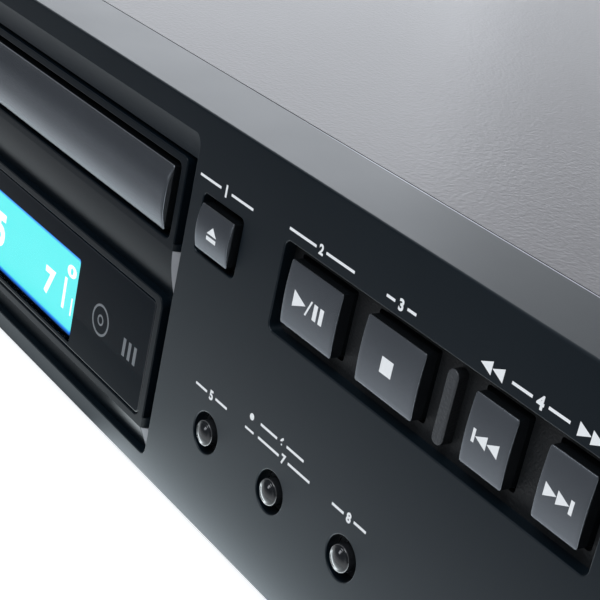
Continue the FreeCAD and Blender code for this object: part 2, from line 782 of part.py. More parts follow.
def gear_rack(x, y, z, module, gap_y, side, back):
    """Straight rack along Y; side is the way its teeth face, gap_y the centre of one gap."""
    pitch = math.pi * module
    slope = math.tan(math.radians(PRESSURE_ANGLE)) * module
    thick = pitch / 4 - BACKLASH / 4
    root = x - side * DEDENDUM * module
    tip = x + side * ADDENDUM * module
    points = [(root - side * back, y[0]), (root, y[0])]
    first = math.ceil((y[0] - gap_y) / pitch)
    last = math.floor((y[1] - gap_y) / pitch)
    for n in range(first, last):
        middle = gap_y + (n + 0.5) * pitch
        wide = thick + DEDENDUM * slope
        slim = thick - ADDENDUM * slope
        points += [(root, middle - wide), (tip, middle - slim)]
        points += [(tip, middle + slim), (root, middle + wide)]
    points += [(root, y[1]), (root - side * back, y[1])]
    return polygon(points, on_floor(z[0]), V(0, 0, z[1] - z[0]))


# Housing
def front_panel():
    """Moulded hood: face, four walls, apertures, and bosses behind for what it carries."""
    body = block((-HALF, HALF), (FRONT, SEAM), (BOTTOM, TOP))
    rim = [e for e in body.Edges if e.BoundBox.YMax < FRONT + PANEL_EDGE / 2]
    body = body.makeFillet(PANEL_EDGE, rim)
    inner = HALF - PANEL_WALL
    hollow = block((-inner, inner), (FACE_BACK, SEAM), (BOTTOM + PANEL_WALL, TOP - PANEL_WALL))
    body = body.cut(hollow)
    bosses = [pin(BOSS_RADIUS, V(x, FACE_BACK, z), V(x, KEY_BOARD_FRONT, z)) for x, z in board_bosses()]
    switch_front = FRONT + POWER_SWITCH_DEPTH
    for x in about(POWER_X, 2 * POWER_EAR):
        bosses.append(pin(BOSS_RADIUS, V(x, FACE_BACK, KEY_ROW), V(x, switch_front, KEY_ROW)))
    for side in (-1, 1):
        for z in (-EAR_SCREW_RISE, EAR_SCREW_RISE):
            start = V(side * inner, EAR_SCREW_Y, z)
            bosses.append(pin(BOSS_RADIUS, start, start - V(side * SCREW_LENGTH, 0, 0)))
    body = solids(join(body, *bosses).cut(panel_cutters()))
    outer = 2 * PANEL_EDGE
    apertures = [
        e for e in edges_at(body, FRONT)
        if e.BoundBox.ZMax < TOP - outer and e.BoundBox.ZMin > BOTTOM + outer
        and e.BoundBox.XMax < HALF - outer and e.BoundBox.XMin > outer - HALF
        and e.BoundBox.ZMin < RECESS_TOP - APERTURE_EDGE
    ]
    body = body.makeFillet(APERTURE_EDGE, apertures)
    seam = [e for e in edges_at(body, SEAM) if e.BoundBox.ZMin > TOP - SEAM_EDGE]
    return body.makeFillet(SEAM_EDGE, seam)


def edges_at(body, depth):
    """Edges of the flat faces that lie in the plane at a depth."""
    found = []
    for face in body.Faces:
        box = face.BoundBox
        if abs(box.YMin - depth) < CLOSE and abs(box.YMax - depth) < CLOSE:
            found += face.Edges
    return found


def board_bosses():
    """Places of the four bosses that carry the key board."""
    left = OPEN_X - KEY_BOARD_INSET
    right = WELL_X[1] + KEY_BOARD_MARGIN
    low = LOW_ROW - ROUND_KEY_HOLE - KEY_BOARD_MARGIN
    high = WELL_Z[1] + KEY_BOARD_MARGIN
    return [(left, low), (right, low), (left, high), (right, high)]


def panel_cutters():
    """Everything that is open in the face and in the bosses."""
    through = (FRONT - PANEL_EDGE, FACE_BACK)
    recess_x = about(BLOCK_X, RECESS_WIDTH)
    opening_top = RECESS_TOP - SLOPE_HEIGHT
    mouth = slab(recess_x, (RECESS_BOTTOM, RECESS_TOP), (FRONT, FRONT + SLOPE_DEPTH), RECESS_CORNER)
    slope = cove(recess_x, (opening_top, RECESS_TOP), FRONT, SLOPE_DEPTH)
    cutters = [
        mouth.common(slope),
        slab(recess_x, (RECESS_BOTTOM, opening_top), through, WELL_CORNER),
        block(recess_x, through, (opening_top - WELL_CORNER, opening_top)),
        slab(WELL_X, WELL_Z, through, WELL_CORNER),
        slab(about(OPEN_X, OPEN_WIDTH + 2 * OPEN_GAP), about(OPEN_RISE, OPEN_HEIGHT + 2 * OPEN_GAP),
             through, OPEN_CORNER),
        slab(about(POWER_X, POWER_WIDTH + 2 * POWER_GAP), about(KEY_ROW, POWER_HEIGHT + 2 * POWER_GAP),
             through, POWER_CORNER),
        pin(PHONES_THREAD + SCREW_CLEAR, V(PHONES_X, through[0], LOW_ROW),
            V(PHONES_X, through[1], LOW_ROW)),
        pin(POT_BUSHING + SCREW_CLEAR, V(LEVEL_X, through[0], LOW_ROW),
            V(LEVEL_X, through[1], LOW_ROW)),
    ]
    for x in ROUND_KEYS:
        cutters.append(pin(ROUND_KEY_HOLE, V(x, through[0], LOW_ROW), V(x, through[1], LOW_ROW)))
    for x, z in board_bosses():
        cutters.append(pin(BOSS_BORE, V(x, FACE_BACK, z), V(x, KEY_BOARD_FRONT, z)))
    for side in (-1, 1):
        for z in (-EAR_SCREW_RISE, EAR_SCREW_RISE):
            cutters.append(hole(SCREW_SHANK + THREAD_GAP, V(side * HALF, EAR_SCREW_Y, z), V(1, 0, 0),
                                PANEL_WALL + SCREW_LENGTH + THREAD_GAP))
    return cutters


def display_bezel():
    """Tray frame, curved chin, window frame and lower chin in one moulding with a flange behind."""
    x = about(BLOCK_X, 2 * BEZEL_HALF)
    face = (FRONT, FACE_BACK)
    tray_frame = slab(x, (TRAY_FRAME_BOTTOM, TRAY_FRAME_TOP), face, TRAY_FRAME_CORNER)
    window_frame = slab(x, (WINDOW_BOTTOM, WINDOW_TOP), face, WINDOW_CORNER)
    flange_x = about(BLOCK_X, RECESS_WIDTH + 2 * BEZEL_LAP)
    flange_z = (BOTTOM + PANEL_WALL + SEAT_GAP, RECESS_TOP - SLOPE_HEIGHT + BEZEL_LAP)
    flange = block(flange_x, (FACE_BACK, BEZEL_BACK), flange_z)
    body = join(flange, tray_frame, window_frame, chin(), lower_chin())
    tray_slot = slab(
        about(BLOCK_X, 2 * SLOT_HALF), (SLOT_LOW, SLOT_HIGH), (FRONT, BEZEL_BACK), SLOT_CORNER)
    lens_pocket = slab(
        about(BLOCK_X, 2 * SLOT_HALF), (POCKET_LOW, POCKET_HIGH), (FRONT, LENS_BACK), LENS_CORNER)
    lcd_hole = block(
        about(LCD_X, LCD_WIDTH + 2 * LCD_GAP),
        (FRONT, BEZEL_BACK),
        about(LCD_CENTRE_RISE, LCD_HEIGHT + 2 * LCD_GAP))
    body = solids(body.cut([tray_slot, lens_pocket, lcd_hole]))
    rims = [
        e for e in edges_at(body, FRONT)
        if abs(e.BoundBox.ZMin - TRAY_FRAME_BOTTOM) > CLOSE and abs(e.BoundBox.ZMin - WINDOW_BOTTOM) > CLOSE
    ]
    return body.makeFillet(APERTURE_EDGE, rims)


def drafted(z):
    """Wedge in plan that gives the ends of a chin their draft."""
    x = about(BLOCK_X, 2 * BEZEL_HALF)
    points = [(x[0], FRONT), (x[1], FRONT), (x[1] + CHIN_DRAFT, FACE_BACK), (x[0] - CHIN_DRAFT, FACE_BACK)]
    return polygon(points, on_floor(z[0]), V(0, 0, z[1] - z[0]))


def chin():
    """Curved fall from the tray frame back to the top of the window frame."""
    start = BLOCK_X - BEZEL_HALF - CHIN_DRAFT
    high = TRAY_FRAME_BOTTOM + TRAY_FRAME_CORNER
    top = V(start, FRONT, TRAY_FRAME_BOTTOM)
    foot = V(start, FRONT + CHIN_DEPTH, WINDOW_TOP)
    middle = (top + foot) / 2 - V(0, CHIN_BULGE, 0)
    low = WINDOW_TOP - WINDOW_CORNER
    edges = [
        Part.LineSegment(V(start, FRONT, high), top).toShape(),
        Part.Arc(top, middle, foot).toShape(),
        Part.makePolygon([foot, V(start, FRONT + CHIN_DEPTH, low), V(start, FACE_BACK, low),
                          V(start, FACE_BACK, high), V(start, FRONT, high)]),
    ]
    body = Part.Face(Part.Wire(edges)).extrude(V(2 * (BEZEL_HALF + CHIN_DRAFT), 0, 0))
    return body.common(drafted((low, high)))


def lower_chin():
    """Bevel from the window frame back to the lower edge of the recess."""
    start = BLOCK_X - BEZEL_HALF - CHIN_DRAFT
    high = WINDOW_BOTTOM + WINDOW_CORNER
    points = [(FRONT, high), (FRONT, WINDOW_BOTTOM), (FRONT + LOWER_CHIN_DEPTH, LOWER_CHIN_END),
              (FACE_BACK, LOWER_CHIN_END), (FACE_BACK, high)]
    body = polygon(points, on_side(start), V(2 * (BEZEL_HALF + CHIN_DRAFT), 0, 0))
    return body.common(drafted((LOWER_CHIN_END, high)))


def window_lens():
    """Smoked lens with rounded front edges."""
    x = about(BLOCK_X, 2 * (SLOT_HALF - LENS_GAP))
    body = slab(x, (POCKET_LOW + LENS_GAP, POCKET_HIGH - LENS_GAP), (LENS_FRONT, LENS_BACK), LENS_CORNER)
    rim = [e for e in body.Edges if e.BoundBox.YMax < LENS_FRONT + LENS_THICK / 4]
    return body.makeFillet(LENS_EDGE, rim)


def key_surround():
    """Textured well behind the panel: floor with a hole for each key, and the divider rib."""
    floor = (FACE_BACK, FACE_BACK + WELL_FLOOR)
    x = (WELL_X[0] - WELL_LAP, WELL_X[1] + WELL_LAP)
    z = (WELL_Z[0] - WELL_LAP, WELL_Z[1] + WELL_LAP)
    divider = slab(
        about(DIVIDER_X, DIVIDER_WIDTH), about(WELL_ROW, WELL_HEIGHT - 2 * DIVIDER_MARGIN),
        (FRONT + DIVIDER_SINK, FACE_BACK + WELL_FLOOR), DIVIDER_WIDTH / 2)
    body = join(block(x, floor, z), divider)
    holes = [
        slab(about(centre, width + 2 * KEY_GAP), about(KEY_ROW, KEY_HEIGHT + 2 * KEY_GAP), floor, KEY_GAP)
        for centre, width in transport_keys()
    ]
    body = solids(body.cut(holes))
    return body.makeFillet(DIVIDER_EDGE, edges_at(body, FRONT + DIVIDER_SINK))


def transport_keys():
    """Centre and width of each transport key, left to right."""
    return [(PLAY_X, WIDE_KEY), (STOP_X, WIDE_KEY), (SKIP_BACK_X, NARROW_KEY), (SKIP_FORWARD_X, NARROW_KEY)]


def top_cover():
    """Folded steel cover: top, two sides and a hem over the rear panel."""
    y = (CASE_FRONT, CASE_REAR + COVER_SHEET + CHASSIS_GAP)
    outer = cover_section(HALF, TOP, COVER_BEND, y)
    inner = cover_section(HALF - COVER_SHEET, TOP - COVER_SHEET, COVER_BEND - COVER_SHEET, y)
    body = outer.cut(inner)
    hem = block(
        (-HALF + COVER_BEND, HALF - COVER_BEND), (CASE_REAR + CHASSIS_GAP, y[1]),
        (TOP - REAR_HEM, TOP - COVER_SHEET / 2))
    body = join(body, hem)
    cutters = []
    for side in (-1, 1):
        for n in range(VENT_COUNT):
            centre = VENT_START + n * VENT_PITCH
            cutters.append(block(
                about(side * HALF, 4 * COVER_SHEET), about(centre, VENT_WIDTH),
                about(TOP - VENT_DROP, VENT_LENGTH)))
        for y_place, z_place in side_screws():
            cutters.append(hole(SCREW_SHANK + SCREW_CLEAR, V(side * HALF, y_place, z_place), V(1, 0, 0),
                                2 * COVER_SHEET))
    for x in rear_screws():
        cutters.append(hole(SCREW_SHANK + SCREW_CLEAR, V(x, y[1], TOP - REAR_HEM / 2), V(0, 1, 0),
                            2 * COVER_SHEET))
    return body.cut(cutters)


def cover_section(half, top, radius, y):
    """Upturned U in cross-section, run along the depth."""
    shoulder = slab((-half, half), (BOTTOM, top), y, radius)
    legs = block((-half, half), y, (BOTTOM, 0))
    return join(shoulder, legs)


def side_screws():
    """Places on each side, as (y, z), of screws that go through cover or ear into the chassis."""
    rise = BOTTOM + CHASSIS_LIP / 2
    return [(EAR_LEG - EAR_SCREW_INSET, rise), (SIDE_SCREW_FRONT, rise), (CASE_REAR - SIDE_SCREW_INSET, rise)]


def rear_screws():
    """X places of the screws through the rear panel's upper and lower edges."""
    return [REAR_SCREW_INSET - HALF, 0.0, HALF - REAR_SCREW_INSET]


def bottom_chassis():
    """Folded steel pan with upturned sides and rear, front tabs, and standoffs for the boards."""
    floor = block((-CHASSIS_HALF, CHASSIS_HALF), (CASE_FRONT, CHASSIS_REAR), (BOTTOM, FLOOR_TOP))
    walls = []
    inner = CHASSIS_HALF - CHASSIS_SHEET
    for x in ((-CHASSIS_HALF, -inner), (inner, CHASSIS_HALF)):
        walls.append(block(x, (CASE_FRONT, CHASSIS_REAR), (BOTTOM, BOTTOM + CHASSIS_LIP)))
    walls.append(block(
        (-CHASSIS_HALF, CHASSIS_HALF), (CHASSIS_REAR - CHASSIS_SHEET, CHASSIS_REAR),
        (BOTTOM, BOTTOM + REAR_LIP)))
    walls.append(block(
        (-CHASSIS_HALF, CHASSIS_HALF), (CASE_FRONT, CASE_FRONT + CHASSIS_SHEET),
        (BOTTOM, BOTTOM + CHASSIS_LIP / 2)))
    for x in ((-CHASSIS_HALF, -CHASSIS_HALF + FRONT_TAB_WIDTH), (CHASSIS_HALF - FRONT_TAB_WIDTH, CHASSIS_HALF)):
        walls.append(block(x, (CASE_FRONT, CASE_FRONT + CHASSIS_SHEET), (BOTTOM, TOP - FRONT_TAB_DROP)))
    for x, y in main_board_posts() + power_board_posts():
        walls.append(pin(STANDOFF_RADIUS, V(x, y, FLOOR_TOP), V(x, y, BOARD_LOW)))
    body = join(floor, *walls)
    cutters = []
    for side in (-1, 1):
        for y, z in side_screws():
            cutters.append(hole(SCREW_SHANK + THREAD_GAP, V(side * CHASSIS_HALF, y, z), V(1, 0, 0),
                                2 * CHASSIS_SHEET))
    for x, y in foot_places():
        cutters.append(hole(FOOT_RIVET + SCREW_CLEAR, V(x, y, BOTTOM), V(0, 0, 1), 2 * CHASSIS_SHEET))
    for n in range(FLOOR_VENT_COUNT):
        centre = TRANSFORMER_X + (n - (FLOOR_VENT_COUNT - 1) / 2) * VENT_PITCH
        cutters.append(block(about(centre, VENT_WIDTH), about(TRANSFORMER_Y + FLOOR_VENT_OFFSET, VENT_LENGTH),
                             about(BOTTOM, 4 * CHASSIS_SHEET)))
    for x in rear_screws():
        cutters.append(hole(SCREW_SHANK + THREAD_GAP, V(x, CHASSIS_REAR, BOTTOM + REAR_LIP / 2), V(0, 1, 0),
                            2 * CHASSIS_SHEET))
    return body.cut(cutters)


def foot_places():
    """Centres of the four feet."""
    return [(x, y) for x in (FOOT_INSET - HALF, HALF - FOOT_INSET)
            for y in (FOOT_FRONT, CASE_REAR - FOOT_REAR_INSET)]


def main_board_posts():
    """Standoffs at the corners of the main board."""
    return [(x, y) for x in (MAIN_BOARD_LEFT + BOARD_INSET, MAIN_BOARD_RIGHT - BOARD_INSET)
            for y in (MAIN_BOARD_FRONT + BOARD_INSET, BOARD_REAR - JACK_CLEARANCE)]


def power_board_posts():
    """Standoffs at the corners of the power board."""
    return [(x, y) for x in (POWER_BOARD_LEFT + BOARD_INSET, POWER_BOARD_RIGHT - BOARD_INSET)
            for y in (POWER_BOARD_FRONT + BOARD_INSET, BOARD_REAR - BOARD_INSET)]


def rear_panel():
    """Flat steel panel with cut-outs for the mains inlet and the output sockets."""
    y = (CASE_REAR - CHASSIS_SHEET, CASE_REAR)
    z = (BOTTOM, TOP - COVER_SHEET - CHASSIS_GAP)
    body = slab((-CHASSIS_HALF, CHASSIS_HALF), z, y, COVER_BEND)
    flange_y = (CASE_REAR - REAR_HEM, CASE_REAR)
    flange_half = CHASSIS_HALF - COVER_BEND
    flange = block((-flange_half, flange_half), flange_y, (z[1] - CHASSIS_SHEET, z[1]))
    body = join(body, flange)
    cutters = [slab(
        about(INLET_X, INLET_WIDTH + 2 * SCREW_CLEAR), about(INLET_Z, INLET_HEIGHT + 2 * SCREW_CLEAR),
        y, INLET_CORNER)]
    for x in jack_places():
        cutters.append(pin(JACK_COLLAR + SCREW_CLEAR, V(x, y[0], JACK_Z), V(x, y[1], JACK_Z)))
    cutters.append(block(about(optical_x(), OPTICAL_WIDTH + 2 * SCREW_CLEAR), y,
                         (BOARD_TOP - SCREW_CLEAR, BOARD_TOP + OPTICAL_HEIGHT + SCREW_CLEAR)))
    for x in rear_screws():
        cutters.append(hole(SCREW_SHANK + THREAD_GAP, V(x, y[1], TOP - REAR_HEM / 2), V(0, 1, 0),
                            2 * CHASSIS_SHEET))
        cutters.append(hole(SCREW_SHANK + SCREW_CLEAR, V(x, y[1], BOTTOM + REAR_LIP / 2), V(0, 1, 0),
                            2 * CHASSIS_SHEET))
    return body.cut(cutters)


def rack_ear(side):
    """Steel angle screwed to the side: front flange with two slots, leg along the case."""
    x = (HALF, RACK_WIDTH / 2)
    flange = slab(x, (BOTTOM, TOP), (-EAR_SHEET, 0), EAR_CORNER)
    square = block((HALF, HALF + 2 * EAR_CORNER), (-EAR_SHEET, 0), (BOTTOM, TOP))
    leg = block((HALF, HALF + EAR_SHEET), (-EAR_SHEET, EAR_LEG), (BOTTOM, TOP))
    body = join(flange, square, leg)
    slots = [
        slab(about(RACK_HOLE_SPAN / 2, RACK_SLOT_LENGTH), about(rise, RACK_SLOT_WIDTH),
             (-2 * EAR_SHEET, EAR_SHEET), RACK_SLOT_WIDTH / 2)
        for rise in (-RACK_HOLE_RISE / 2, RACK_HOLE_RISE / 2)
    ]
    screws = [
        hole(SCREW_SHANK + SCREW_CLEAR, V(HALF + EAR_SHEET, y, z), V(1, 0, 0), 2 * EAR_SHEET)
        for y, z in ear_screw_places()
    ]
    body = body.cut(slots + screws)
    return body if side > 0 else body.mirror(V(0, 0, 0), V(1, 0, 0))


def ear_screw_places():
    """Places of an ear's screws as (y, z)."""
    return [(EAR_SCREW_Y, -EAR_SCREW_RISE), (EAR_SCREW_Y, EAR_SCREW_RISE), side_screws()[0]]


def ear_screws():
    """Screws that hold the ears."""
    made = []
    for side in (-1, 1):
        for y, z in ear_screw_places():
            start = V(side * (HALF + EAR_SHEET), y, z)
            made.append(screw(start, V(-side, 0, 0)))
    return group(*made)


def case_screws():
    """Screws of the cover's sides and rear hem, of the rear panel, and of the loader on its brackets."""
    made = []
    for side in (-1, 1):
        for y, z in side_screws()[1:]:
            made.append(screw(V(side * HALF, y, z), V(-side, 0, 0)))
    for x in rear_screws():
        made.append(screw(V(x, CASE_REAR + CHASSIS_GAP + COVER_SHEET, TOP - REAR_HEM / 2), V(0, -1, 0)))
        made.append(screw(V(x, CASE_REAR, BOTTOM + REAR_LIP / 2), V(0, -1, 0)))
    for x, y in loader_screw_places():
        made.append(screw(V(x, y, LOADER_Z), V(0, 0, -1)))
    return group(*made)


def feet():
    """Four round feet, each with a rivet head that grips the chassis."""
    made = []
    for x, y in foot_places():
        low = BOTTOM - FOOT_HEIGHT
        rivet = FLOOR_TOP + CHASSIS_SHEET
        points = [
            (0, low), (FOOT_TOP_RADIUS, low), (FOOT_RADIUS, low + FOOT_HEIGHT / 3), (FOOT_RADIUS, BOTTOM),
            (FOOT_RIVET, BOTTOM), (FOOT_RIVET, rivet), (0, rivet),
        ]
        made.append(turned(points, x, y))
    return group(*made)


# Front controls
def push_key(cap, x, z, size, seat):
    """Key: its cap, a flange behind the seat that keeps it in, and a stem to its switch."""
    flange_y = (seat + KEY_PLAY, seat + KEY_PLAY + KEY_FLANGE)
    flange = block(about(x, size[0] + 2 * KEY_FLANGE_LAP), flange_y, about(z, size[1] + 2 * KEY_FLANGE_LAP))
    stem = pin(KEY_STEM, V(x, flange_y[0], z), V(x, STEM_END, z))
    return join(cap, flange, stem)


def transport_key(x, width):
    """Cushioned key in the well, its edges level with the panel."""
    seat = FACE_BACK + WELL_FLOOR
    cap = barrel(about(x, width), about(KEY_ROW, KEY_HEIGHT), FRONT, KEY_BULGE, seat + KEY_PLAY)
    return push_key(cap, x, KEY_ROW, (width, KEY_HEIGHT), seat)


def open_close_key():
    """Cushioned key that stands out of its own aperture."""
    cap = barrel(about(OPEN_X, OPEN_WIDTH), about(OPEN_RISE, OPEN_HEIGHT), FRONT - OPEN_PROUD, OPEN_BULGE,
                 FACE_BACK + KEY_PLAY)
    size = (OPEN_WIDTH + 2 * OPEN_GAP, OPEN_HEIGHT + 2 * OPEN_GAP)
    return push_key(cap, OPEN_X, OPEN_RISE, size, FACE_BACK)


def round_key(x):
    """Small domed key in a round hole."""
    z = LOW_ROW
    edge = FRONT - ROUND_KEY_PROUD
    rim = V(x + ROUND_KEY_RADIUS, edge, z)
    crown = V(x, edge - ROUND_KEY_DOME, z)
    shoulder = V(x + ROUND_KEY_RADIUS * math.cos(math.pi / 4), edge - ROUND_KEY_DOME * math.sqrt(0.5), z)
    back = FACE_BACK + KEY_PLAY
    edges = [
        Part.Arc(crown, shoulder, rim).toShape(),
        Part.makePolygon([rim, V(x + ROUND_KEY_RADIUS, back, z), V(x, back, z), crown]),
    ]
    cap = Part.Face(Part.Wire(edges)).revolve(V(x, 0, z), V(0, 1, 0), 360)
    size = (2 * ROUND_KEY_HOLE, 2 * ROUND_KEY_HOLE)
    return push_key(cap, x, z, size, FACE_BACK)


def key_places():
    """Centre of every key that closes a switch on the key board."""
    places = [(OPEN_X, OPEN_RISE)]
    places += [(x, KEY_ROW) for x, width in transport_keys()]
    places += [(x, LOW_ROW) for x in ROUND_KEYS]
    return places


def key_board():
    """Circuit board behind the keys, on the panel's bosses."""
    bosses = board_bosses()
    x = (bosses[0][0] - KEY_BOARD_MARGIN, bosses[1][0] + KEY_BOARD_MARGIN)
    z = (bosses[0][1] - BOSS_RADIUS, bosses[2][1] + BOSS_RADIUS)
    body = slab(x, z, (KEY_BOARD_FRONT, KEY_BOARD_FRONT + BOARD_THICK), KEY_GAP)
    holes = [hole(BOSS_BORE, V(a, KEY_BOARD_FRONT, b), V(0, 1, 0), 2 * BOARD_THICK) for a, b in bosses]
    return body.cut(holes)


def switches():
    """Push switches under the keys, each plunger drawn pressed, and the mains switch."""
    made = [power_switch()]
    for x, z in key_places():
        body_y = (KEY_BOARD_FRONT - SWITCH_HEIGHT, KEY_BOARD_FRONT)
        body = block(about(x, SWITCH_SIDE), body_y, about(z, SWITCH_SIDE))
        plunger = pin(PLUNGER_RADIUS, V(x, SWITCH_FRONT, z), V(x, body_y[0], z))
        made.append(join(body, plunger))
    return group(*made)


def power_key():
    """Push-push power key."""
    back = FACE_BACK + KEY_PLAY
    cap = barrel(about(POWER_X, POWER_WIDTH), about(KEY_ROW, POWER_HEIGHT), FRONT - POWER_PROUD,
                 POWER_BULGE, back + KEY_FLANGE)
    lap = 2 * (POWER_GAP + KEY_FLANGE_LAP)
    flange = block(about(POWER_X, POWER_WIDTH + lap), (back, back + KEY_FLANGE),
                   about(KEY_ROW, POWER_HEIGHT + lap))
    end = FRONT + POWER_SWITCH_DEPTH - POWER_TRAVEL - KEY_PLAY
    stem = block(about(POWER_X, 2 * POWER_STEM), (back, end), about(KEY_ROW, 2 * POWER_STEM))
    return join(cap, flange, stem)


def power_switch():
    """Latching mains switch with two ears on the panel's bosses."""
    front = FRONT + POWER_SWITCH_DEPTH
    ears = block(about(POWER_X, 2 * (POWER_EAR + BOSS_RADIUS)), (front, front + CHASSIS_SHEET),
                 about(KEY_ROW, POWER_EAR_HEIGHT))
    body = block(about(POWER_X, POWER_SWITCH_SIDE), (front, front + POWER_SWITCH_LENGTH),
                 about(KEY_ROW, POWER_SWITCH_SIDE))
    return join(ears, body)


def phones_jack():
    """Stereo phones socket: threaded barrel through the panel, ring nut, body behind."""
    z = LOW_ROW
    nut = pin(PHONES_COLLAR, V(PHONES_X, FRONT - PHONES_PROUD, z), V(PHONES_X, FRONT, z))
    barrel_part = pin(PHONES_THREAD, V(PHONES_X, FRONT, z), V(PHONES_X, FACE_BACK, z))
    body = block(about(PHONES_X, PHONES_BODY), (FACE_BACK, FACE_BACK + PHONES_LENGTH), about(z, PHONES_BODY))
    bore = pin(PHONES_BORE, V(PHONES_X, FRONT - PHONES_PROUD, z),
               V(PHONES_X, FACE_BACK + PHONES_LENGTH - PANEL_FACE, z))
    return join(nut, barrel_part, body).cut(bore)


def level_pot():
    """Rotary control: body behind the panel, bushing through it."""
    z = LOW_ROW
    bushing = pin(POT_BUSHING, V(LEVEL_X, FRONT, z), V(LEVEL_X, FACE_BACK, z))
    body = block(about(LEVEL_X, POT_BODY), (FACE_BACK, FACE_BACK + POT_DEPTH), about(z, POT_BODY))
    bore = pin(POT_SHAFT + RUNNING_GAP, V(LEVEL_X, FRONT, z), V(LEVEL_X, FRONT + SHAFT_REACH, z))
    return join(bushing, body).cut(bore)


def level_knob():
    """Fluted knob moulded on its shaft."""
    z = LOW_ROW
    back = FRONT - KNOB_GAP
    body = pin(KNOB_RADIUS, V(LEVEL_X, back - KNOB_LENGTH, z), V(LEVEL_X, back, z))
    shaft = pin(POT_SHAFT, V(LEVEL_X, back, z), V(LEVEL_X, FRONT + SHAFT_REACH - KEY_PLAY, z))
    flutes = []
    for n in range(KNOB_FLUTES):
        turn = 2 * math.pi * n / KNOB_FLUTES
        foot = V(LEVEL_X + KNOB_RADIUS * math.cos(turn), back, z + KNOB_RADIUS * math.sin(turn))
        tool = Part.makeBox(KNOB_FLUTE, KNOB_LENGTH - KNOB_COLLAR, KNOB_FLUTE, foot)
        tool.translate(V(-KNOB_FLUTE / 2, KNOB_COLLAR - KNOB_LENGTH, -KNOB_FLUTE / 2))
        tool.rotate(foot, V(0, 1, 0), 45 - math.degrees(turn))
        flutes.append(tool)
    return join(body.cut(flutes), shaft)


# Display behind the window
def lcd_panel():
    """Glass display cell."""
    return block(about(LCD_X, LCD_WIDTH), (LCD_FRONT, LCD_FRONT + LCD_THICK), about(LCD_CENTRE_RISE, LCD_HEIGHT))


def lcd_holder():
    """White light box between the bezel and the display board."""
    x = about(LCD_X, LCD_WIDTH + 2 * HOLDER_WALL)
    z = about(LCD_CENTRE_RISE, LCD_HEIGHT + 2 * HOLDER_WALL)
    body = block(x, (BEZEL_BACK, DISPLAY_BOARD_FRONT), z)
    pocket = block(about(LCD_X, LCD_WIDTH + 2 * LCD_GAP), (BEZEL_BACK, LCD_FRONT + LCD_THICK),
                   about(LCD_CENTRE_RISE, LCD_HEIGHT + 2 * LCD_GAP))
    return body.cut(pocket)


def display_board():
    """Circuit board that drives the display."""
    return block(about(BLOCK_X, DISPLAY_BOARD_WIDTH), (DISPLAY_BOARD_FRONT, DISPLAY_BOARD_FRONT + BOARD_THICK),
                 about(LCD_CENTRE_RISE, LCD_HEIGHT + 2 * DISPLAY_BOARD_LAP))


# Tray
def tray_door():
    """Cushioned door with two lugs that clip over the front of the tray."""
    body = barrel(about(BLOCK_X, DOOR_WIDTH), (DOOR_LOW, DOOR_HIGH), FRONT, DOOR_BULGE, TRAY_FRONT)
    lugs = []
    for x in about(BLOCK_X, TRAY_WIDTH / 2):
        lugs.append(block(about(x, DOOR_LUG), (TRAY_FRONT, TRAY_FRONT + DOOR_LUG_HEIGHT),
                          (TRAY_TOP, TRAY_TOP + DOOR_LUG_THICK)))
    return join(body, *lugs)


def disc_tray():
    """Disc tray with wells for two disc sizes, a slot for the traverse, runners and a rack."""
    y = (TRAY_FRONT, TRAY_REAR)
    body = plate(about(BLOCK_X, TRAY_WIDTH), y, (TRAY_RISE, TRAY_TOP), TRAY_CORNER)
    front = block(about(BLOCK_X, TRAY_WIDTH), (TRAY_FRONT, TRAY_FRONT + TRAY_CORNER), (TRAY_RISE, TRAY_TOP))
    inner = TRAY_WIDTH / 2 - TRAY_SIDE
    hollow_y = (TRAY_FRONT + TRAY_SIDE, TRAY_REAR + TRAY_SIDE)
    under = [block((BLOCK_X - inner, BLOCK_X + inner), hollow_y, (TRAY_RISE, TRAY_UNDER))]
    for side in (-1, 1):
        strip = sorted((BLOCK_X + side * (SMALL_DISC_RADIUS + TRAY_RAISED_FLOOR), BLOCK_X + side * inner))
        under.append(block(strip, hollow_y, (TRAY_RISE, DISC_Z - TRAY_FLOOR)))
    body = join(body, front).cut(under)
    runner_z = (RUNNER_LOW, RUNNER_LOW + RUNNER_HEIGHT)
    runners = block(about(BLOCK_X, TRAY_WIDTH + 2 * TRAY_RUNNER), (TRAY_FRONT + RUNNER_START, TRAY_REAR), runner_z)
    runners = runners.cut(block((BLOCK_X - inner, BLOCK_X + inner), (TRAY_FRONT, TRAY_REAR), runner_z))
    rack = tray_rack()
    body = join(body, runners, rack)
    centre = V(BLOCK_X, DISC_Y, DISC_Z)
    wells = [
        pin(DISC_RADIUS, centre, V(BLOCK_X, DISC_Y, TRAY_TOP)),
        pin(SMALL_DISC_RADIUS, V(BLOCK_X, DISC_Y, SMALL_DISC_Z), centre),
        pin(TURNTABLE_RADIUS + TRAY_HOLE_GAP, V(BLOCK_X, DISC_Y, TRAY_UNDER), centre),
        block(about(BLOCK_X, TRAY_SLOT), (DISC_Y, DISC_Y + DISC_RADIUS), (TRAY_UNDER, DISC_Z)),
        block(about(BLOCK_X, 2 * (CLAMPER_RADIUS + CHANNEL_GAP)), (DISC_Y, TRAY_REAR),
              (CLAMPER_LOW - CHANNEL_CLEAR, TRAY_TOP)),
    ]
    turn = math.radians(FINGER_ANGLE)
    for side in (-1, 1):
        x = BLOCK_X + side * DISC_RADIUS * math.cos(turn)
        y_place = DISC_Y - DISC_RADIUS * math.sin(turn)
        wells.append(pin(FINGER_RADIUS, V(x, y_place, DISC_Z), V(x, y_place, TRAY_TOP)))
    return body.cut(wells)


def tray_rack():
    """Rack along the inside of the tray's left wall; it spans the whole travel."""
    y = (DRIVE_GEAR_Y - 2 * MODULE, TRAY_REAR)
    z = (TRAY_RISE, TRAY_RISE + RACK_HEIGHT)
    return gear_rack(RACK_X, y, z, MODULE, DRIVE_GEAR_Y, 1, RACK_BACK)


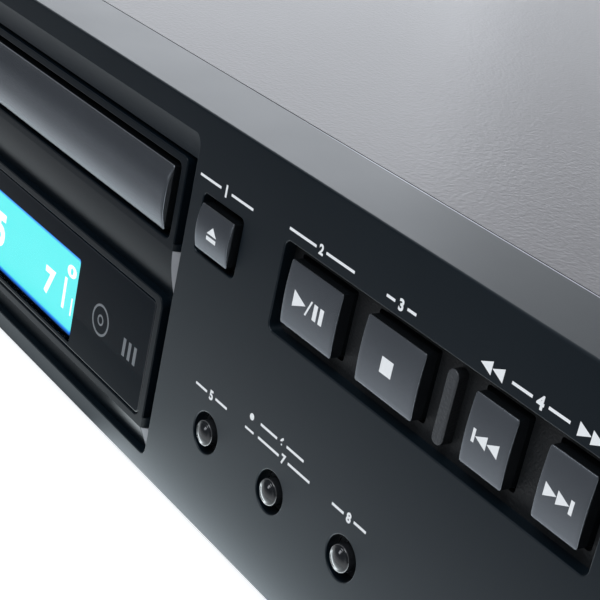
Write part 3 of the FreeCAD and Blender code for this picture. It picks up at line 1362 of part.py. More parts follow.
# Loading drive
def drive_gear():
    """Two-step gear: the wide wheel takes the pulley's pinion, the small one moves the rack."""
    z = (GEAR_LOW, GEAR_LOW + GEAR_WIDTH)
    wheel = gear_disc(DRIVE_X, DRIVE_GEAR_Y, DRIVE_TEETH, MODULE, 0.0, z)
    upper = gear_disc(DRIVE_X, DRIVE_GEAR_Y, RACK_PINION_TEETH, MODULE, math.pi, (z[0], RACK_PINION_TOP))
    rim = DRIVE_RADIUS - DEDENDUM * MODULE - RIM_WALL
    points = [(GEAR_HUB, z[0] + GEAR_WEB), (rim, z[0] + GEAR_WEB), (rim, z[1]), (GEAR_HUB, z[1])]
    wheel = wheel.cut(turned(points, DRIVE_X, DRIVE_GEAR_Y))
    foot = pin(GEAR_HUB, V(DRIVE_X, DRIVE_GEAR_Y, PULLEY_LOW), V(DRIVE_X, DRIVE_GEAR_Y, z[0]))
    return join(wheel, upper, foot).cut(gear_bore(DRIVE_X))


def gear_bore(x):
    """Bore that lets a gear run on its post."""
    return hole(GEAR_POST + RUNNING_GAP, V(x, DRIVE_GEAR_Y, GEAR_LOW), V(0, 0, 1), RACK_PINION_TOP - LOADER_Z)


def pulley_gear():
    """Belt pulley with the pinion that turns the drive gear."""
    phase = mating_phase(DRIVE_TEETH, 0.0, PINION_TEETH, 0.0)
    z = (GEAR_LOW, GEAR_LOW + GEAR_WIDTH)
    pinion = gear_disc(PULLEY_X, DRIVE_GEAR_Y, PINION_TEETH, MODULE, phase, (z[0] - GEAR_WEB, z[1]))
    wheel = turned(pulley_points(PULLEY_RADIUS), PULLEY_X, DRIVE_GEAR_Y)
    bore = gear_bore(PULLEY_X)
    neck = pin(GEAR_HUB, V(PULLEY_X, DRIVE_GEAR_Y, PULLEY_LOW), V(PULLEY_X, DRIVE_GEAR_Y, z[0]))
    return join(pinion, wheel, neck).cut(bore)


def pulley_points(radius):
    """Half section of a pulley with a V groove."""
    high = PULLEY_LOW + PULLEY_HEIGHT
    middle = PULLEY_LOW + PULLEY_HEIGHT / 2
    floor = radius - PULLEY_GROOVE
    return [
        (0, PULLEY_LOW), (radius, PULLEY_LOW), (floor, middle - BELT / 2 - BELT_GAP),
        (floor, middle + BELT / 2 + BELT_GAP), (radius, high), (0, high),
    ]


def motor_pulley():
    """Small pulley pressed on the loading motor's shaft, made with it."""
    wheel = turned(pulley_points(MOTOR_PULLEY_RADIUS), MOTOR_PULLEY_X, MOTOR_Y)
    shaft = pin(MOTOR_SHAFT, V(MOTOR_PULLEY_X, MOTOR_Y, LOADER_LOW), V(MOTOR_PULLEY_X, MOTOR_Y, PULLEY_LOW))
    return join(wheel, shaft)


def drive_belt():
    """Square-section rubber belt round both pulleys."""
    z = PULLEY_LOW + PULLEY_HEIGHT / 2 - BELT / 2
    inner = [(PULLEY_X, DRIVE_GEAR_Y, PULLEY_RADIUS - PULLEY_GROOVE + BELT_GAP),
             (MOTOR_PULLEY_X, MOTOR_Y, MOTOR_PULLEY_RADIUS - PULLEY_GROOVE + BELT_GAP)]
    outer = [(x, y, r + BELT) for x, y, r in inner]
    loop = belt_face(outer, z).cut(belt_face(inner, z))
    return loop.extrude(V(0, 0, BELT))


def belt_face(wheels, z):
    """Area inside a belt round two wheels: two arcs and their outer tangents."""
    (xa, ya, ra), (xb, yb, rb) = wheels
    gap = math.hypot(xb - xa, yb - ya)
    heading = math.atan2(yb - ya, xb - xa)
    lean = math.acos((ra - rb) / gap)

    def at(x, y, r, turn):
        return V(x + r * math.cos(turn), y + r * math.sin(turn), z)

    upper, lower = heading + lean, heading - lean
    edges = [
        Part.Arc(at(xa, ya, ra, upper), at(xa, ya, ra, heading + math.pi), at(xa, ya, ra, lower)).toShape(),
        Part.LineSegment(at(xa, ya, ra, lower), at(xb, yb, rb, lower)).toShape(),
        Part.Arc(at(xb, yb, rb, lower), at(xb, yb, rb, heading), at(xb, yb, rb, upper)).toShape(),
        Part.LineSegment(at(xb, yb, rb, upper), at(xa, ya, ra, upper)).toShape(),
    ]
    return Part.Face(Part.Wire(edges))


def loading_motor():
    """Small motor that hangs under the loader's floor."""
    top = V(MOTOR_PULLEY_X, MOTOR_Y, LOADER_LOW)
    body = pin(MOTOR_RADIUS, top - V(0, 0, MOTOR_LENGTH), top)
    boss = pin(MOTOR_BOSS, top, top + V(0, 0, LOADER_FLOOR))
    bore = pin(MOTOR_SHAFT + RUNNING_GAP, top - V(0, 0, RUNNING_GAP), top + V(0, 0, LOADER_FLOOR))
    return join(body, boss).cut(bore)


def loader_frame():
    """Moulded base of the loader: floor, side walls with ledges and hooks for the tray's runners, posts."""
    x = about(BLOCK_X, 2 * LOADER_HALF)
    y = (LOADER_FRONT, LOADER_REAR)
    pieces = []
    for side in (-1, 1):
        inner = BLOCK_X + side * LOADER_INNER
        rail = sorted((BLOCK_X + side * (TRAY_WIDTH / 2 + LEDGE_GAP), inner))
        pieces.append(block(sorted((inner, BLOCK_X + side * LOADER_HALF)), y, (LOADER_LOW, BRIDGE_LOW)))
        ledge_top = RUNNER_LOW - SLIDE_GAP / 2
        pieces.append(block(rail, y, (ledge_top - LEDGE_HEIGHT, ledge_top)))
        hook_low = RUNNER_LOW + RUNNER_HEIGHT + SLIDE_GAP
        for start in (y[0], (y[0] + y[1]) / 2 - HOOK_LENGTH, y[1] - HOOK_LENGTH):
            pieces.append(block(rail, (start, start + HOOK_LENGTH), (hook_low, hook_low + LEDGE_HEIGHT)))
    pieces.append(block(x, (LOADER_REAR - LOADER_WALL, LOADER_REAR), (LOADER_LOW, TRAY_RISE - REAR_WALL_GAP)))
    pieces.append(block(x, (LOADER_FRONT, LOADER_FRONT + LOADER_WALL), (LOADER_LOW, LOADER_Z + FRONT_WALL_HEIGHT)))
    for gear_x, top in ((DRIVE_X, RACK_PINION_TOP), (PULLEY_X, GEAR_LOW + GEAR_WIDTH)):
        foot = V(gear_x, DRIVE_GEAR_Y, LOADER_Z)
        pieces.append(pin(GEAR_POST, foot, V(gear_x, DRIVE_GEAR_Y, top)))
        pieces.append(pin(GEAR_HUB, foot, V(gear_x, DRIVE_GEAR_Y, PULLEY_LOW - KEY_PLAY)))
    floor = block(x, y, (LOADER_LOW, LOADER_Z)).cut(floor_openings())
    body = join(floor, *pieces, *pivot_lugs(), *cam_guides())
    cutters = [hole(SCREW_SHANK + SCREW_CLEAR, V(a, b, LOADER_Z), V(0, 0, 1), 2 * LOADER_FLOOR)
               for a, b in loader_screw_places()]
    reach = LIFT_HALF + PIVOT_LENGTH + KEY_PLAY
    cutters.append(hole(PIVOT_PIN + RUNNING_GAP, V(BLOCK_X, PIVOT_Y, LOADER_Z), V(1, 0, 0), reach))
    return body.cut(cutters)


def floor_openings():
    """Openings in the loader's floor for the lift frame, the cam slider and the motor's boss."""
    deep = (LOADER_LOW - LOADER_FLOOR, LOADER_Z + LOADER_FLOOR)
    half = LIFT_HALF + LIFT_GAP
    cam = (CAM_PIN_PLACE - CAM_TRAVEL - CAM_MARGIN - CAM_PIN - SLIDE_GAP,
           CAM_PIN_PLACE + CAM_TRAVEL + CAM_MARGIN + CAM_PIN + SLIDE_GAP)
    return [
        block(about(BLOCK_X, 2 * half), (LIFT_FRONT - LIFT_GAP, LIFT_REAR + LIFT_GAP), deep),
        block(cam, (CAM_Y - 2 * SLIDE_GAP, LIFT_FRONT), deep),
        hole(MOTOR_BOSS + SEAT_GAP, V(MOTOR_PULLEY_X, MOTOR_Y, LOADER_Z), V(0, 0, 1), 2 * LOADER_FLOOR),
    ]


def pivot_lugs():
    """Two lugs under the floor that carry the lift frame's pivot pins."""
    made = []
    for side in (-1, 1):
        start = BLOCK_X + side * (LIFT_HALF + LIFT_GAP / 2)
        end = start + side * LUG_THICK
        made.append(block(sorted((start, end)), about(PIVOT_Y, 2 * LUG_RADIUS), about(LOADER_Z, 2 * LUG_RADIUS)))
    return made


def cam_guides():
    """Two angles on the floor that hold the cam slider's foot down."""
    low = LOADER_Z + CAM_FOOT_HEIGHT + 2 * SLIDE_GAP
    back = CAM_Y - CAM_FOOT - SLIDE_GAP
    margin = CAM_MARGIN + CAM_PIN
    made = []
    for x in (CAM_PIN_PLACE - margin, CAM_PIN_PLACE + margin + CAM_FOOT_REACH - CAM_GUIDE):
        upright = block((x, x + CAM_GUIDE), (back - CAM_SHEET, back), (LOADER_Z, low + CAM_SHEET))
        finger = block((x, x + CAM_GUIDE), (back - CAM_SHEET, back + CAM_SHEET), (low, low + CAM_SHEET))
        made.append(join(upright, finger))
    return made


def loader_screw_places():
    """Screws through the loader's floor into its brackets."""
    x = LOADER_INNER - BRACKET_FLANGE / 2
    return [(BLOCK_X + side * x, y) for side in (-1, 1)
            for y in (LOADER_FRONT + LOADER_SCREW_FRONT, LOADER_REAR - LOADER_SCREW_REAR)]


def loader_brackets():
    """Two folded steel brackets that carry the loader above the chassis floor."""
    made = []
    top = LOADER_LOW
    for side in (-1, 1):
        outer = BLOCK_X + side * LOADER_HALF
        web = sorted((outer, outer - side * BRACKET_SHEET))
        flange = sorted((outer, outer - side * (LOADER_WALL + BRACKET_FLANGE)))
        y = (LOADER_FRONT + BRACKET_FRONT_INSET, LOADER_REAR - BRACKET_REAR_INSET)
        body = join(
            block(web, y, (FLOOR_TOP, top)),
            block(flange, y, (top - BRACKET_SHEET, top)),
            block(flange, y, (FLOOR_TOP, FLOOR_TOP + BRACKET_SHEET)))
        window = slab_side(web, (y[0] + BRACKET_WINDOW, y[1] - BRACKET_WINDOW),
                           (FLOOR_TOP + BRACKET_WINDOW / 2, top - BRACKET_WINDOW / 2), BRACKET_SHEET * 3)
        holes = [hole(SCREW_SHANK + THREAD_GAP, V(a, b, top), V(0, 0, 1), 2 * BRACKET_SHEET)
                 for a, b in loader_screw_places()]
        made.append(body.cut([window] + holes))
    return group(*made)


def slab_side(x, y, z, radius):
    """Rounded rectangle in side view, through the width x."""
    return rounded_face(y, z, radius, on_side(x[0])).extrude(V(x[1] - x[0], 0, 0))


# Clamp
def clamper_bridge():
    """Steel bridge over the disc: ribs along both edges, tabs over the walls, hole for the clamper."""
    x = about(BLOCK_X, 2 * (LOADER_HALF + BRIDGE_SHEET))
    y = about(DISC_Y, BRIDGE_WIDTH)
    body = block(x, y, (BRIDGE_LOW, BRIDGE_TOP))
    inner = about(BLOCK_X, 2 * LOADER_INNER - BRIDGE_RIB)
    ribs = [block(inner, edge, (BRIDGE_LOW, BRIDGE_LOW + BRIDGE_RIB))
            for edge in ((y[0], y[0] + BRIDGE_SHEET), (y[1] - BRIDGE_SHEET, y[1]))]
    tabs = [block(edge, y, (BRIDGE_LOW - BRIDGE_TAB, BRIDGE_TOP))
            for edge in ((x[0], x[0] + BRIDGE_SHEET), (x[1] - BRIDGE_SHEET, x[1]))]
    body = join(body, *ribs, *tabs)
    return body.cut(hole(CLAMPER_NECK + CLAMPER_HOLE_GAP, V(BLOCK_X, DISC_Y, BRIDGE_LOW), V(0, 0, 1), 2 * BRIDGE_RIB))


def clamper():
    """Floating clamp puck: disc below the bridge, neck through it, cap that hangs on it."""
    cap = BRIDGE_TOP + CLAMPER_PLAY
    recess = TURNTABLE_HUB + CLAMPER_RECESS_GAP
    points = [
        (0, CLAMPER_LOW + CLAMPER_RECESS_DEPTH), (recess, CLAMPER_LOW + CLAMPER_RECESS_DEPTH),
        (recess, CLAMPER_LOW), (CLAMPER_RADIUS, CLAMPER_LOW),
        (CLAMPER_RADIUS, CLAMPER_LOW + CLAMPER_DISC), (CLAMPER_NECK, CLAMPER_LOW + CLAMPER_DISC + CLAMPER_CONE),
        (CLAMPER_NECK, cap), (CLAMPER_CAP, cap), (CLAMPER_CAP, cap + CLAMPER_CAP_THICK),
        (0, cap + CLAMPER_CAP_THICK),
    ]
    return turned(points, BLOCK_X, DISC_Y)


# Lift and traverse, built level and then lowered about the pivot
def lowered(shape):
    """Turns a piece of the lift from its raised, level place to rest."""
    low = shape.copy()
    low.rotate(V(0, PIVOT_Y, LOADER_Z), V(1, 0, 0), LIFT_ANGLE)
    return low


def lift_frame():
    """Moulded frame on two pivot pins, with corner ledges for the dampers and the cam pin."""
    x = about(BLOCK_X, 2 * LIFT_HALF)
    y = (LIFT_FRONT, LIFT_REAR)
    z = (LIFT_LOW, LIFT_TOP)
    body = block(x, y, z)
    body = body.cut(block((x[0] + LIFT_WALL, x[1] - LIFT_WALL), (y[0] + LIFT_WALL, y[1] - LIFT_WALL), z))
    ledge_top = damper_low()
    ledges = []
    for a, b in damper_places():
        wall = BLOCK_X + math.copysign(LIFT_HALF - LIFT_WALL / 2, a - BLOCK_X)
        ledge_x = (min(wall, a - LIFT_LEDGE / 2), max(wall, a + LIFT_LEDGE / 2))
        ledges.append(block(ledge_x, about(b, LIFT_LEDGE), (ledge_top - LIFT_LEDGE_HEIGHT, ledge_top)))
    pins = [
        pin(PIVOT_PIN, V(BLOCK_X + side * (LIFT_HALF - LIFT_WALL), PIVOT_Y, LOADER_Z),
            V(BLOCK_X + side * (LIFT_HALF + PIVOT_LENGTH), PIVOT_Y, LOADER_Z))
        for side in (-1, 1)
    ]
    cam = pin(CAM_PIN, V(CAM_PIN_PLACE, LIFT_FRONT + LIFT_WALL / 2, CAM_PIN_RISE),
              V(CAM_PIN_PLACE, LIFT_FRONT - CAM_PIN_LENGTH, CAM_PIN_RISE))
    return join(body, *ledges, *pins, cam)


def damper_places():
    """Centres of the four dampers under the corners of the traverse plate."""
    return [(BLOCK_X + side * (PLATE_HALF - DAMPER_INSET), y)
            for side in (-1, 1) for y in (PLATE_FRONT + DAMPER_INSET, PLATE_REAR - DAMPER_INSET)]


def damper_low():
    """Height of the ledges that the dampers stand on."""
    return PLATE_LOW - LIFT_LEDGE_HEIGHT


def dampers():
    """Rubber spools that carry the traverse plate."""
    made = []
    for x, y in damper_places():
        low = damper_low()
        points = [
            (0, low), (DAMPER_RADIUS, low), (DAMPER_WAIST, (low + PLATE_LOW) / 2), (DAMPER_RADIUS, PLATE_LOW),
            (0, PLATE_LOW),
        ]
        made.append(turned(points, x, y))
    return group(*made)


def traverse_plate():
    """Steel plate with a window for the pickup, rod blocks and the sled gear's post."""
    x = about(BLOCK_X, 2 * PLATE_HALF)
    body = plate(x, (PLATE_FRONT, PLATE_REAR), (PLATE_LOW, PLATE_TOP), DAMPER_RADIUS)
    window_x = about(BLOCK_X, 2 * (PICKUP_HALF + WINDOW_MARGIN))
    window_y = (PICKUP_Y - PICKUP_FRONT - WINDOW_MARGIN,
                PICKUP_Y + PICKUP_LENGTH - PICKUP_FRONT + PICKUP_TRAVEL + WINDOW_MARGIN)
    cutters = [
        block(window_x, window_y, (PLATE_LOW, PLATE_TOP)),
        hole(SPINDLE_SHAFT + RUNNING_GAP, V(BLOCK_X, DISC_Y, PLATE_LOW), V(0, 0, 1), 2 * PLATE_SHEET),
        hole(SPINDLE_SHAFT + RUNNING_GAP, V(SLED_GEAR_X, SLED_PINION_Y, PLATE_LOW), V(0, 0, 1), 2 * PLATE_SHEET),
    ]
    post = pin(SLED_POST, V(SLED_GEAR_X, SLED_GEAR_Y, PLATE_TOP),
               V(SLED_GEAR_X, SLED_GEAR_Y, SLED_GEAR_LOW + SLED_GEAR_WIDTH))
    shoulder = pin(2 * SLED_POST, V(SLED_GEAR_X, SLED_GEAR_Y, PLATE_TOP),
                   V(SLED_GEAR_X, SLED_GEAR_Y, SLED_GEAR_LOW - KEY_PLAY))
    blocks = []
    for side in (-1, 1):
        rod_x = BLOCK_X + side * ROD_OFFSET
        for start in (ROD_START, ROD_END - ROD_BLOCK):
            blocks.append(block(about(rod_x, 2 * ROD_BLOCK), (start, start + ROD_BLOCK),
                                (PLATE_TOP, ROD_Z + ROD_RADIUS + ROD_CAP)))
    body = join(body, post, shoulder, *blocks).cut(cutters)
    bores = [pin(ROD_RADIUS + THREAD_GAP, V(BLOCK_X + side * ROD_OFFSET, ROD_START, ROD_Z),
                 V(BLOCK_X + side * ROD_OFFSET, ROD_END, ROD_Z)) for side in (-1, 1)]
    return body.cut(bores)


def guide_rods():
    """Two ground steel rods that the pickup slides on."""
    return group(*[
        pin(ROD_RADIUS, V(BLOCK_X + side * ROD_OFFSET, ROD_START, ROD_Z),
            V(BLOCK_X + side * ROD_OFFSET, ROD_END, ROD_Z)) for side in (-1, 1)])


def spindle_motor():
    """Flat motor under the plate that turns the disc."""
    body = pin(SPINDLE_RADIUS, V(BLOCK_X, DISC_Y, PLATE_LOW - SPINDLE_HEIGHT), V(BLOCK_X, DISC_Y, PLATE_LOW))
    bore = pin(SPINDLE_SHAFT + RUNNING_GAP, V(BLOCK_X, DISC_Y, PLATE_LOW - SPINDLE_HEIGHT / 2),
               V(BLOCK_X, DISC_Y, PLATE_LOW))
    return body.cut(bore)


def turntable():
    """Turntable: supporting rim, centring hub, and the shaft down into the motor."""
    under = TURNTABLE_TOP - TURNTABLE_THICK
    points = [
        (0, PLATE_LOW - SPINDLE_HEIGHT / 4), (SPINDLE_SHAFT, PLATE_LOW - SPINDLE_HEIGHT / 4),
        (SPINDLE_SHAFT, PLATE_TOP + SLEEVE_GAP), (TURNTABLE_SLEEVE, PLATE_TOP + SLEEVE_GAP),
        (TURNTABLE_SLEEVE, under), (TURNTABLE_RADIUS, under), (TURNTABLE_RADIUS, TURNTABLE_TOP),
        (TURNTABLE_HUB, TURNTABLE_TOP), (TURNTABLE_HUB, TURNTABLE_TOP + TURNTABLE_HUB_RISE / 2),
        (TURNTABLE_SLEEVE, TURNTABLE_TOP + TURNTABLE_HUB_RISE), (0, TURNTABLE_TOP + TURNTABLE_HUB_RISE),
    ]
    return turned(points, BLOCK_X, DISC_Y)


def optical_pickup():
    """Pickup sled: body, bearing arms over both rods, and the rack on its left arm."""
    y = (PICKUP_Y - PICKUP_FRONT, PICKUP_Y - PICKUP_FRONT + PICKUP_LENGTH)
    body = plate(about(BLOCK_X, 2 * PICKUP_HALF), y, (PICKUP_TOP - PICKUP_DEPTH, PICKUP_TOP), PICKUP_CORNER)
    arm_z = about(ROD_Z, 2 * (ROD_RADIUS + ARM_WALL))
    arms = [block(about(BLOCK_X, 2 * (ROD_OFFSET + ROD_RADIUS + ARM_END)), (start, start + PICKUP_ARM), arm_z)
            for start in (y[0], y[1] - PICKUP_ARM)]
    rack_z = (SLED_GEAR_LOW, SLED_GEAR_LOW + SLED_GEAR_WIDTH)
    rack = gear_rack(SLED_RACK_X, (SLED_RACK_START, SLED_RACK_START + SLED_RACK_LENGTH), rack_z, SLED_MODULE,
                     SLED_GEAR_Y, -1, SLED_RACK_BACK)
    link = block((SLED_RACK_X + DEDENDUM * SLED_MODULE, BLOCK_X - PICKUP_HALF / 2),
                 (y[0], y[0] + PICKUP_ARM), rack_z)
    yokes = []
    for side in (-1, 1):
        start = PICKUP_Y + side * (LENS_HOLDER / 2 + KEY_PLAY)
        yokes.append(block(about(BLOCK_X, LENS_HOLDER / 2), sorted((start, start + side * LENS_YOKE)),
                           (PICKUP_TOP - LENS_YOKE, PICKUP_TOP + LENS_YOKE_HEIGHT)))
    bores = [hole(ROD_RADIUS + RUNNING_GAP, V(BLOCK_X + side * ROD_OFFSET, PICKUP_Y, ROD_Z), V(0, 1, 0),
                  2 * PICKUP_LENGTH) for side in (-1, 1)]
    well = hole(LENS_RADIUS + LENS_WELL_GAP, V(BLOCK_X, PICKUP_Y, PICKUP_TOP), V(0, 0, 1), LENS_WELL_DEPTH)
    return join(body, *arms, rack, link, *yokes).cut(bores + [well])


def objective_lens():
    """Lens in its moving holder between the pickup's yokes."""
    low = PICKUP_TOP + LENS_FOCUS + KEY_PLAY
    high = low + LENS_HOLDER_HEIGHT
    holder = plate(about(BLOCK_X, LENS_HOLDER), about(PICKUP_Y, LENS_HOLDER), (low, high), LENS_HOLDER_CORNER)
    lens = pin(LENS_RADIUS, V(BLOCK_X, PICKUP_Y, low - LENS_WELL_DEPTH / 2), V(BLOCK_X, PICKUP_Y, high + LENS_DOME))
    return join(holder, lens)


def sled_gear():
    """Gear that moves the pickup's rack."""
    z = (SLED_GEAR_LOW, SLED_GEAR_LOW + SLED_GEAR_WIDTH)
    body = gear_disc(SLED_GEAR_X, SLED_GEAR_Y, SLED_TEETH, SLED_MODULE, 0.0, z)
    return body.cut(hole(SLED_POST + RUNNING_GAP, V(SLED_GEAR_X, SLED_GEAR_Y, z[0]), V(0, 0, 1), 2 * SLED_GEAR_WIDTH))


def sled_pinion():
    """Pinion on the sled motor's shaft."""
    phase = mating_phase(SLED_TEETH, 0.0, SLED_PINION_TEETH, math.pi / 2)
    z = (SLED_GEAR_LOW - KEY_PLAY, SLED_GEAR_LOW + SLED_GEAR_WIDTH + KEY_PLAY)
    body = gear_disc(SLED_GEAR_X, SLED_PINION_Y, SLED_PINION_TEETH, SLED_MODULE, phase, z)
    shaft = pin(SPINDLE_SHAFT, V(SLED_GEAR_X, SLED_PINION_Y, PLATE_LOW - SLED_MOTOR_LENGTH / 4),
                V(SLED_GEAR_X, SLED_PINION_Y, z[0]))
    return join(body, shaft)


def sled_motor():
    """Small motor under the plate that drives the sled gear."""
    body = pin(SLED_MOTOR_RADIUS, V(SLED_GEAR_X, SLED_PINION_Y, PLATE_LOW - SLED_MOTOR_LENGTH),
               V(SLED_GEAR_X, SLED_PINION_Y, PLATE_LOW))
    bore = pin(SPINDLE_SHAFT + RUNNING_GAP, V(SLED_GEAR_X, SLED_PINION_Y, PLATE_LOW - SLED_MOTOR_LENGTH / 2),
               V(SLED_GEAR_X, SLED_PINION_Y, PLATE_LOW))
    return body.cut(bore)


def cam_slider():
    """Slider with the slanted slot that lifts the frame's cam pin; at rest the pin is low."""
    reach = PIVOT_Y - CAM_Y - CAM_SHEET / 2
    swing = math.radians(LIFT_ANGLE)
    low = LOADER_Z + (CAM_PIN_RISE - LOADER_Z) * math.cos(swing) - reach * math.sin(swing)
    right = (CAM_PIN_PLACE, low)
    left = (CAM_PIN_PLACE - CAM_TRAVEL, CAM_PIN_RISE)
    edge = CAM_MARGIN + CAM_PIN
    x = (left[0] - edge, right[0] + edge)
    y = (CAM_Y, CAM_Y + CAM_SHEET)
    body = block(x, y, (low - edge, CAM_PIN_RISE + edge))
    foot_low = LOADER_Z + SLIDE_GAP
    foot = block((x[0], x[1] + CAM_FOOT_REACH), (CAM_Y - CAM_FOOT, CAM_Y), (foot_low, foot_low + CAM_FOOT_HEIGHT))
    slot = cam_slot(right, left, y)
    return join(body, foot).cut(slot)


def cam_slot(right, left, y):
    """Slanted slot with round ends between two centres."""
    run = right[0] - left[0]
    rise = left[1] - right[1]
    length = math.hypot(run, rise)
    radius = CAM_PIN + CAM_GAP
    middle = ((right[0] + left[0]) / 2, (right[1] + left[1]) / 2)
    slot = slab(about(middle[0], length + 2 * radius), about(middle[1], 2 * radius), y, radius)
    slot.rotate(V(middle[0], 0, middle[1]), V(0, 1, 0), math.degrees(math.atan2(rise, run)))
    return slot


# Electronics
def main_board():
    """Main circuit board on its standoffs."""
    return block((MAIN_BOARD_LEFT, MAIN_BOARD_RIGHT), (MAIN_BOARD_FRONT, BOARD_REAR), (BOARD_LOW, BOARD_TOP))


def power_board():
    """Power supply board on its standoffs."""
    return block((POWER_BOARD_LEFT, POWER_BOARD_RIGHT), (POWER_BOARD_FRONT, BOARD_REAR), (BOARD_LOW, BOARD_TOP))


def board_parts():
    """Chips, capacitors, connectors and the heat sink on the two large boards."""
    made = [heat_sink()]
    for n in range(CHIP_COUNT):
        x = MAIN_BOARD_LEFT + (n + 1) * CHIP_PITCH
        made.append(block(about(x, CHIP_SIDE), about(MAIN_BOARD_FRONT + CHIP_Y, CHIP_SIDE),
                          (BOARD_TOP, BOARD_TOP + CHIP_HEIGHT)))
    for left, front in ((MAIN_BOARD_LEFT, MAIN_BOARD_FRONT), (POWER_BOARD_LEFT, POWER_BOARD_FRONT)):
        for n in range(CAPACITOR_COUNT):
            foot = V(left + (n + 1) * CAPACITOR_PITCH, front + CAPACITOR_Y, BOARD_TOP)
            made.append(pin(CAPACITOR_RADIUS, foot, foot + V(0, 0, CAPACITOR_HEIGHT)))
        made.append(block(about(left + CONNECTOR_INSET, CONNECTOR_LENGTH), about(front + CONNECTOR_Y, CONNECTOR_WIDTH),
                          (BOARD_TOP, BOARD_TOP + CONNECTOR_HEIGHT)))
    return group(*made)


def heat_sink():
    """Finned aluminium extrusion that stands on the power board."""
    x = POWER_BOARD_RIGHT - HEAT_SINK_INSET
    y = about((POWER_BOARD_FRONT + BOARD_REAR) / 2, HEAT_SINK_LENGTH)
    z = (BOARD_TOP, BOARD_TOP + HEAT_SINK_HEIGHT)
    back = block((x - HEAT_SINK_FIN, x), y, z)
    fins = []
    for n in range(HEAT_SINK_FINS):
        start = y[0] + n * (HEAT_SINK_LENGTH - HEAT_SINK_FIN) / (HEAT_SINK_FINS - 1)
        fins.append(block((x - HEAT_SINK_DEPTH, x), (start, start + HEAT_SINK_FIN), z))
    return join(back, *fins)


def transformer():
    """Mains transformer: laminated core, winding, and mounting flanges on the floor."""
    x = about(TRANSFORMER_X, CORE_DEPTH)
    z = (FLOOR_TOP, FLOOR_TOP + CORE_HEIGHT)
    core = block(x, about(TRANSFORMER_Y, CORE_LENGTH), z)
    coil = block(about(TRANSFORMER_X, CORE_DEPTH + 2 * COIL_OVERHANG),
                 about(TRANSFORMER_Y, CORE_LENGTH - 2 * COIL_MARGIN), (z[0] + COIL_MARGIN, z[1] - COIL_MARGIN))
    flange = block(x, about(TRANSFORMER_Y, CORE_LENGTH + 2 * TRANSFORMER_FLANGE), (FLOOR_TOP, FLOOR_TOP + EAR_SHEET))
    return join(core, coil, flange)


def flex_cable():
    """Flat cable from the key board back over the main board and down to its connector."""
    start = KEY_BOARD_FRONT + BOARD_THICK
    end = MAIN_BOARD_FRONT + CONNECTOR_Y
    low = BOARD_TOP + CONNECTOR_HEIGHT
    inner = end - FLEX_THICK
    points = [(start, LOADER_Z), (inner, LOADER_Z), (inner, low), (end, low), (end, LOADER_Z + FLEX_THICK),
              (start, LOADER_Z + FLEX_THICK)]
    x = about(MAIN_BOARD_LEFT + CONNECTOR_INSET, FLEX_WIDTH)
    return polygon(points, on_side(x[0]), V(FLEX_WIDTH, 0, 0))


# Rear sockets
def jack_places():
    """X places of the round output sockets."""
    return [JACK_X + n * JACK_PITCH for n in range(JACK_COUNT)]


def optical_x():
    """X place of the optical output."""
    return JACK_X + JACK_COUNT * JACK_PITCH


def ac_inlet():
    """Three-pin mains inlet that snaps into the rear panel."""
    rear = CASE_REAR + INLET_FLANGE
    flange = slab(about(INLET_X, INLET_WIDTH + 2 * INLET_FLANGE_LAP),
                  about(INLET_Z, INLET_HEIGHT + 2 * INLET_FLANGE_LAP), (CASE_REAR, rear), INLET_CORNER)
    body = slab(about(INLET_X, INLET_WIDTH), about(INLET_Z, INLET_HEIGHT), (rear - INLET_DEPTH, CASE_REAR),
                INLET_CORNER)
    floor = rear - INLET_DEPTH + INLET_BACK
    socket = slab(about(INLET_X, INLET_WIDTH - 2 * INLET_WALL), about(INLET_Z, INLET_HEIGHT - 2 * INLET_WALL),
                  (floor, rear), INLET_CORNER)
    pins = []
    for n in (-1, 0, 1):
        rise = INLET_PIN_STEP * (0.5 - abs(n))
        pins.append(block(about(INLET_X + n * INLET_PIN_PITCH, INLET_PIN_WIDTH),
                          (floor - INLET_WALL, floor + INLET_PIN_LENGTH), about(INLET_Z + rise, INLET_PIN_HEIGHT)))
    return join(join(flange, body).cut(socket), *pins)


def rear_jacks():
    """Row of round output sockets and the square optical one, on the main board."""
    made = []
    inside = CASE_REAR - CHASSIS_SHEET
    for x in jack_places():
        z = JACK_Z
        body = block(about(x, JACK_BODY), (inside - JACK_BODY_DEPTH, inside), (BOARD_TOP, z + JACK_BODY / 2))
        collar = pin(JACK_COLLAR, V(x, inside, z), V(x, CASE_REAR + COVER_SHEET, z))
        sleeve = pin(JACK_RADIUS, V(x, CASE_REAR, z), V(x, CASE_REAR + JACK_LENGTH, z))
        bore = pin(JACK_BORE, V(x, CASE_REAR, z), V(x, CASE_REAR + JACK_LENGTH, z))
        made.append(join(body, collar, sleeve).cut(bore))
    x = optical_x()
    made.append(block(about(x, OPTICAL_WIDTH), (inside - JACK_BODY_DEPTH, CASE_REAR + OPTICAL_PROUD),
                      (BOARD_TOP, BOARD_TOP + OPTICAL_HEIGHT)))
    return group(*made)


